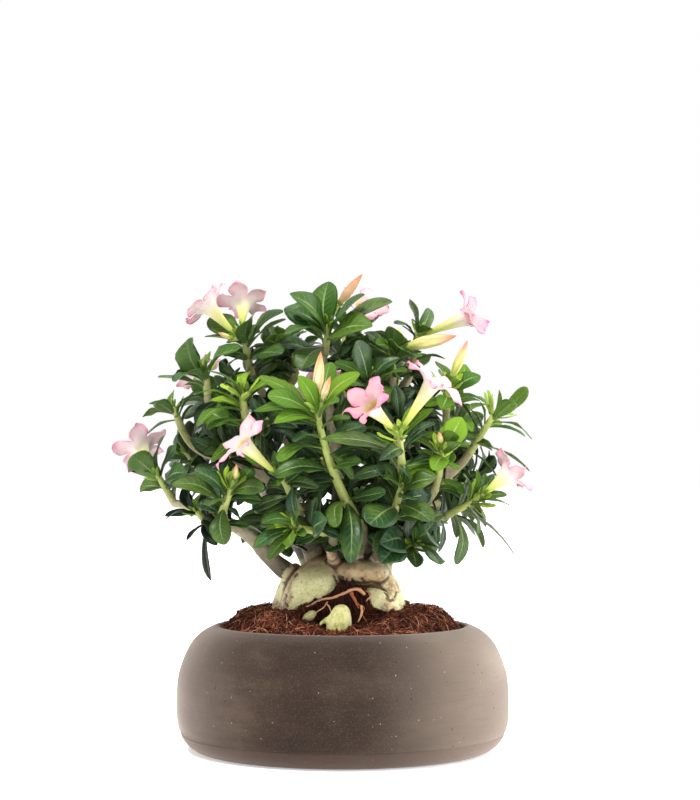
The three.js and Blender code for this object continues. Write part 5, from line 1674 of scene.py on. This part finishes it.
def add_tuft(piece, s, number):
    """The small leaves at a shoot's tip."""
    tip, axis = s["tip"], s["curve"].tangent(1)
    tuft = TUFT_YOUNG if s["young"] else TUFT_OLD
    for k in range(tuft):
        aside = turned(unit(np.cross(axis, NORTH)), axis, ADDED_TURN * k + number)
        lean = mix(0.2, 1.05, k / tuft)
        length = CHANCE.uniform(7, 11) + (1.5 if s["young"] else 1.0) * k
        start = tip - axis * (1 + 0.7 * k)
        end = start + (axis * math.cos(lean) + aside * math.sin(lean)) * length
        leaf = leaf_frame(start, end, -aside + axis * 0.6, 0, 0.34 * length)
        leaf["arch"] = -0.07
        add_leaf(piece, leaf, leaf_tint(youth_of(s, 1, length, True)), small=True)


def build_shoot(s, number, own_leaves):
    """A shoot: its stem, its own leaves, the stalks and sepals that it carries, and the added leaves."""
    piece = Piece()
    curve = s["curve"]
    shares = np.linspace(-STEM_ROOT / curve.length, 1, STEM_STEPS)
    line = np.array([curve.point_at(t) if t >= 0 else s["base"] + curve.tangent(0) * t * curve.length
                     for t in shares])
    radii = mix(s["radius"], STEM_TIP, np.clip(shares, 0, 1)) * (1 + 0.06 * noise(line, 5, 12))
    radii[-1] *= 0.5
    add_tube(piece, line, radii, 12, 1, (0.75 if s["young"] else 0.3, 0, 0))
    for leaf in own_leaves:
        youth = youth_of(s, leaf["at"], leaf["length"])
        leaf["arch"] = LEAF_ARCH * CHANCE.uniform(0.7, 1.5)
        leaf["width"] *= BROAD.get(s["name"], 1)
        add_leaf(piece, leaf, leaf_tint(youth, shade_of(s, leaf)))
    for name, on, foot, mouth, *rest in FLOWERS:
        if on == s["name"]:
            heading = add_stalk(piece, s, foot, mouth)
            add_sepals(piece, np.array(foot, float), heading, 0.75, 0.3 * number)
    for name, on, foot, point, radius, _ in BUDS:
        if on == s["name"]:
            heading = add_stalk(piece, s, foot, point)
            add_sepals(piece, np.array(foot, float), heading, 0.85, 0.5, 3.2 + 0.7 * radius)
    add_filling(piece, s, number)
    add_tuft(piece, s, number)
    slot = "young_leaf" if s["young"] else "leaf"
    hand_over(piece.object(s["name"] + "_leaves", "leaf", "stem"), slot, s["name"])


# Stems that added leaves keep in view, and the share of its length from which a limb is one of them
SEEN_STEMS = ("front_stem", "far_right", "centre_flowers", "left_bud", "top_left", "low_right_flower",
              "top_centre", "low_left_bud", "left_upper")
SEEN_LIMBS = dict(right=0.6, leftLow=0.25)

# Inner shoots: small ones that fill the crown between the main shoots. Their tips stand in this box,
# in this part of the crown's ellipsoid, and this far from other tips.
INNER_COUNT, INNER_TRIES = 40, 6000
INNER_LEAST, INNER_MOST = (-140, -92, 178), (140, 100, 372)
INNER_DEEPEST, INNER_SHALLOWEST = 0.3, 0.86
INNER_APART = 30
# Their twigs rise at least this far, and are this long
INNER_RISE, INNER_SHORTEST, INNER_LONGEST = 6, 16, 62
# Low ones at the back that close the view between the limbs: limb, how far along it, and tip
LOW_SHOOTS = [("backLeft", 0.15, (-44, 42, 180)), ("leftUp", 0.1, (-36, 30, 178)),
              ("backLeft", 0.4, (-62, 60, 190))]
INNER_LEAVES = 10
INNER_SPREAD = 26  # how far down from the tip their leaves stand
INNER_OPENING = (28, 88)
INNER_LEAF_LENGTH = 40
INNER_STEPS_ALONG = 14


def inner_shoots():
    """Where the small inner shoots stand: each tip inside the crown, with a twig from a limb near it."""
    bearers = []
    for curve in LIMB_CURVES.values():
        for share in np.linspace(0.25, 0.95, 18):
            bearers.append(curve.point_at(share))
    for s in SHOOTS:
        if s["at"]:
            bearers += [s["below"].point_at(t) for t in (0.3, 0.5, 0.7)]
    bearers = np.array(bearers)
    tips = [s["tip"] for s in SHOOTS]
    made = []
    for _ in range(INNER_TRIES):
        if len(made) == INNER_COUNT:
            break
        spot = CHANCE.uniform(INNER_LEAST, INNER_MOST)
        deep = np.linalg.norm((spot - CROWN_CENTRE) / CROWN_RADII)
        is_within = INNER_DEEPEST < deep < INNER_SHALLOWEST
        if not is_within or not inside(CROWN_OUTLINE, in_picture(spot[None])).all():
            continue
        if min(np.linalg.norm(spot - tip) for tip in tips) < INNER_APART:
            continue
        way = spot - bearers
        far = np.linalg.norm(way, axis=1)
        rising = (way[:, 2] > INNER_RISE) & (far > INNER_SHORTEST) & (far < INNER_LONGEST)
        if not rising.any():
            continue
        start = bearers[np.where(rising, far, 1e9).argmin()]
        tips.append(spot)
        made.append((start, spot))
    for limb, share, tip in LOW_SHOOTS:
        made.append((LIMB_CURVES[limb].point_at(share), np.array(tip, float)))
    return made


def build_inner_shoots():
    front, back = Piece(), Piece()
    for number, (start, tip) in enumerate(inner_shoots()):
        piece = front if tip[1] < 0 else back
        outward = unit([tip[0], tip[1], 0.01])
        rise = unit(0.6 * UP + 0.5 * outward)
        reach = 0.4 * np.linalg.norm(tip - start)
        curve = bezier(start, start + unit(tip - start) * reach, tip - rise * reach, tip)
        line = curve.line(np.linspace(0, 1, INNER_STEPS_ALONG))
        add_tube(piece, line, np.linspace(2.6, 1.6, INNER_STEPS_ALONG), 9, 1, (0.15, 0, 0))
        for k in range(INNER_LEAVES):
            age = (k + 0.5) / INNER_LEAVES
            share = 1 - min(0.75, INNER_SPREAD * age / curve.length)
            opening = math.radians(mix(*INNER_OPENING, age))
            length = INNER_LEAF_LENGTH * mix(0.7, 1.0, age) * CHANCE.uniform(0.85, 1.12)
            turn = ADDED_TURN * k + number
            slim = CHANCE.uniform(0.36, 0.5)
            leaf = seek_leaf(curve.point_at(share), curve.tangent_at(share), outward, turn, opening,
                             length, slim, 0.25 * age)
            if leaf:
                # old leaves, with painted shade
                add_leaf(piece, leaf, leaf_tint(CHANCE.uniform(0, 0.2), 0.5), small=True)
    for name, piece in (("inner_shoots_front", front), ("inner_shoots_back", back)):
        hand_over(piece.object(name, "leaf", "stem"), "leaf")


def build_crown():
    """The flowers, buds and leaves, each kept clear of what stands already."""
    for s in SHOOTS:
        if s["name"] in SEEN_STEMS:
            crowd.take(s["curve"].line(np.linspace(0, 0.85, 9)), shown=True)
    for limb, start in SEEN_LIMBS.items():
        crowd.take(LIMB_CURVES[limb].line(np.linspace(start, 1, 8)), shown=True)
    for flower in FLOWERS:
        build_flower(*flower)
        crowd.take(lobe_probes(*flower), shown=True)
    for bud in BUDS:
        build_bud(*bud)
    own = [cad_leaves(s, number) for number, s in enumerate(SHOOTS)]
    for leaves in own:
        for leaf in leaves:
            crowd.take(probes_of(leaf), shown=leaf["aimed"])
    for number, s in enumerate(SHOOTS):
        build_shoot(s, number, own[number])
    build_inner_shoots()


build_bowl()
build_soil()
build_fibres("coir_fibres_front", FIBRES_FRONT, True)
build_fibres("coir_fibres_back", FIBRES_BACK, False)
build_crumbs()
build_fine_roots()
build_wood()
build_crown()


# The stage: a plain pale floor, a white surround, soft lights and the photograph's camera

# The surround is white behind the plant, dimmer in front of it, and bright to its right. Each row says
# along which axis it changes, from where to where, and how bright it is at either end.
SURROUND = [(1, -0.6, 0.9, 0.24, 1.0), (0, 0.3, 1.0, 0.0, 3.4), (0, -0.3, -1.0, 0.0, 0.6)]
# The lights: name, strength, angle in degrees and the way it shines
SUNS = [("key", 3.3, 12, (0.28, 0.42, -0.9)), ("fill", 0.9, 60, (-0.9, 0.25, -0.3)),
        ("front", 0.4, 50, (0.4, 0.9, -0.28))]
FLOOR_HALF, FLOOR_GLOW = 12.0, 0.45  # metres, and the strength of its own light


def build_surround(scene):
    world = bpy.data.worlds.new("studio")
    world.use_nodes = True
    nodes, links = world.node_tree.nodes, world.node_tree.links
    nodes["Background"].inputs["Color"].default_value = (1, 1, 1, 1)
    way = nodes.new("ShaderNodeSeparateXYZ")
    links.new(nodes.new("ShaderNodeTexCoord").outputs["Generated"], way.inputs[0])
    strength = None
    for axis, start, end, low, high in SURROUND:
        part = nodes.new("ShaderNodeMapRange")
        links.new(way.outputs[axis], part.inputs["Value"])
        for key, value in (("From Min", start), ("From Max", end), ("To Min", low), ("To Max", high)):
            part.inputs[key].default_value = value
        if strength is None:
            strength = part.outputs["Result"]
            continue
        total = nodes.new("ShaderNodeMath")
        links.new(strength, total.inputs[0])
        links.new(part.outputs["Result"], total.inputs[1])
        strength = total.outputs[0]
    links.new(strength, nodes["Background"].inputs["Strength"])
    scene.world = world


def build_floor(scene):
    floor_mesh = bpy.data.meshes.new("floor")
    corners = [(x * FLOOR_HALF, y * FLOOR_HALF, 0) for x, y in ((-1, -1), (1, -1), (1, 1), (-1, 1))]
    floor_mesh.from_pydata(corners, [], [(0, 1, 2, 3)])
    floor = bpy.data.objects.new("floor", floor_mesh)
    scene.collection.objects.link(floor)
    paper = Shader("floor_paper", 0.9, 0.1)
    paper.surface.inputs["Emission Color"].default_value = (1, 1, 1, 1)
    paper.surface.inputs["Emission Strength"].default_value = FLOOR_GLOW
    floor_mesh.materials.append(paper.finish((0.9, 0.9, 0.9)))


def build_lights(scene):
    for name, energy, angle, way in SUNS:
        light = bpy.data.lights.new(name, "SUN")
        light.energy, light.angle = energy, math.radians(angle)
        lamp = bpy.data.objects.new(name, light)
        lamp.rotation_euler = Vector(way).to_track_quat("-Z", "Y").to_euler()
        scene.collection.objects.link(lamp)


def build_camera(scene):
    view = bpy.data.cameras.new("camera")
    view.lens, view.sensor_fit, view.sensor_height = CAMERA["lens"], "VERTICAL", CAMERA["sensor"]
    camera = bpy.data.objects.new("camera", view)
    camera.location = Vector((CAMERA["x"], -CAMERA["distance"], CAMERA["height"])) * MM
    aim = Vector((CAMERA["x"], 0, CAMERA["aim"])) * MM
    camera.rotation_euler = (aim - camera.location).to_track_quat("-Z", "Y").to_euler()
    scene.collection.objects.link(camera)
    scene.camera = camera
    scene.view_settings.view_transform = "Standard"


build_surround(bpy.context.scene)
build_floor(bpy.context.scene)
build_lights(bpy.context.scene)
build_camera(bpy.context.scene)
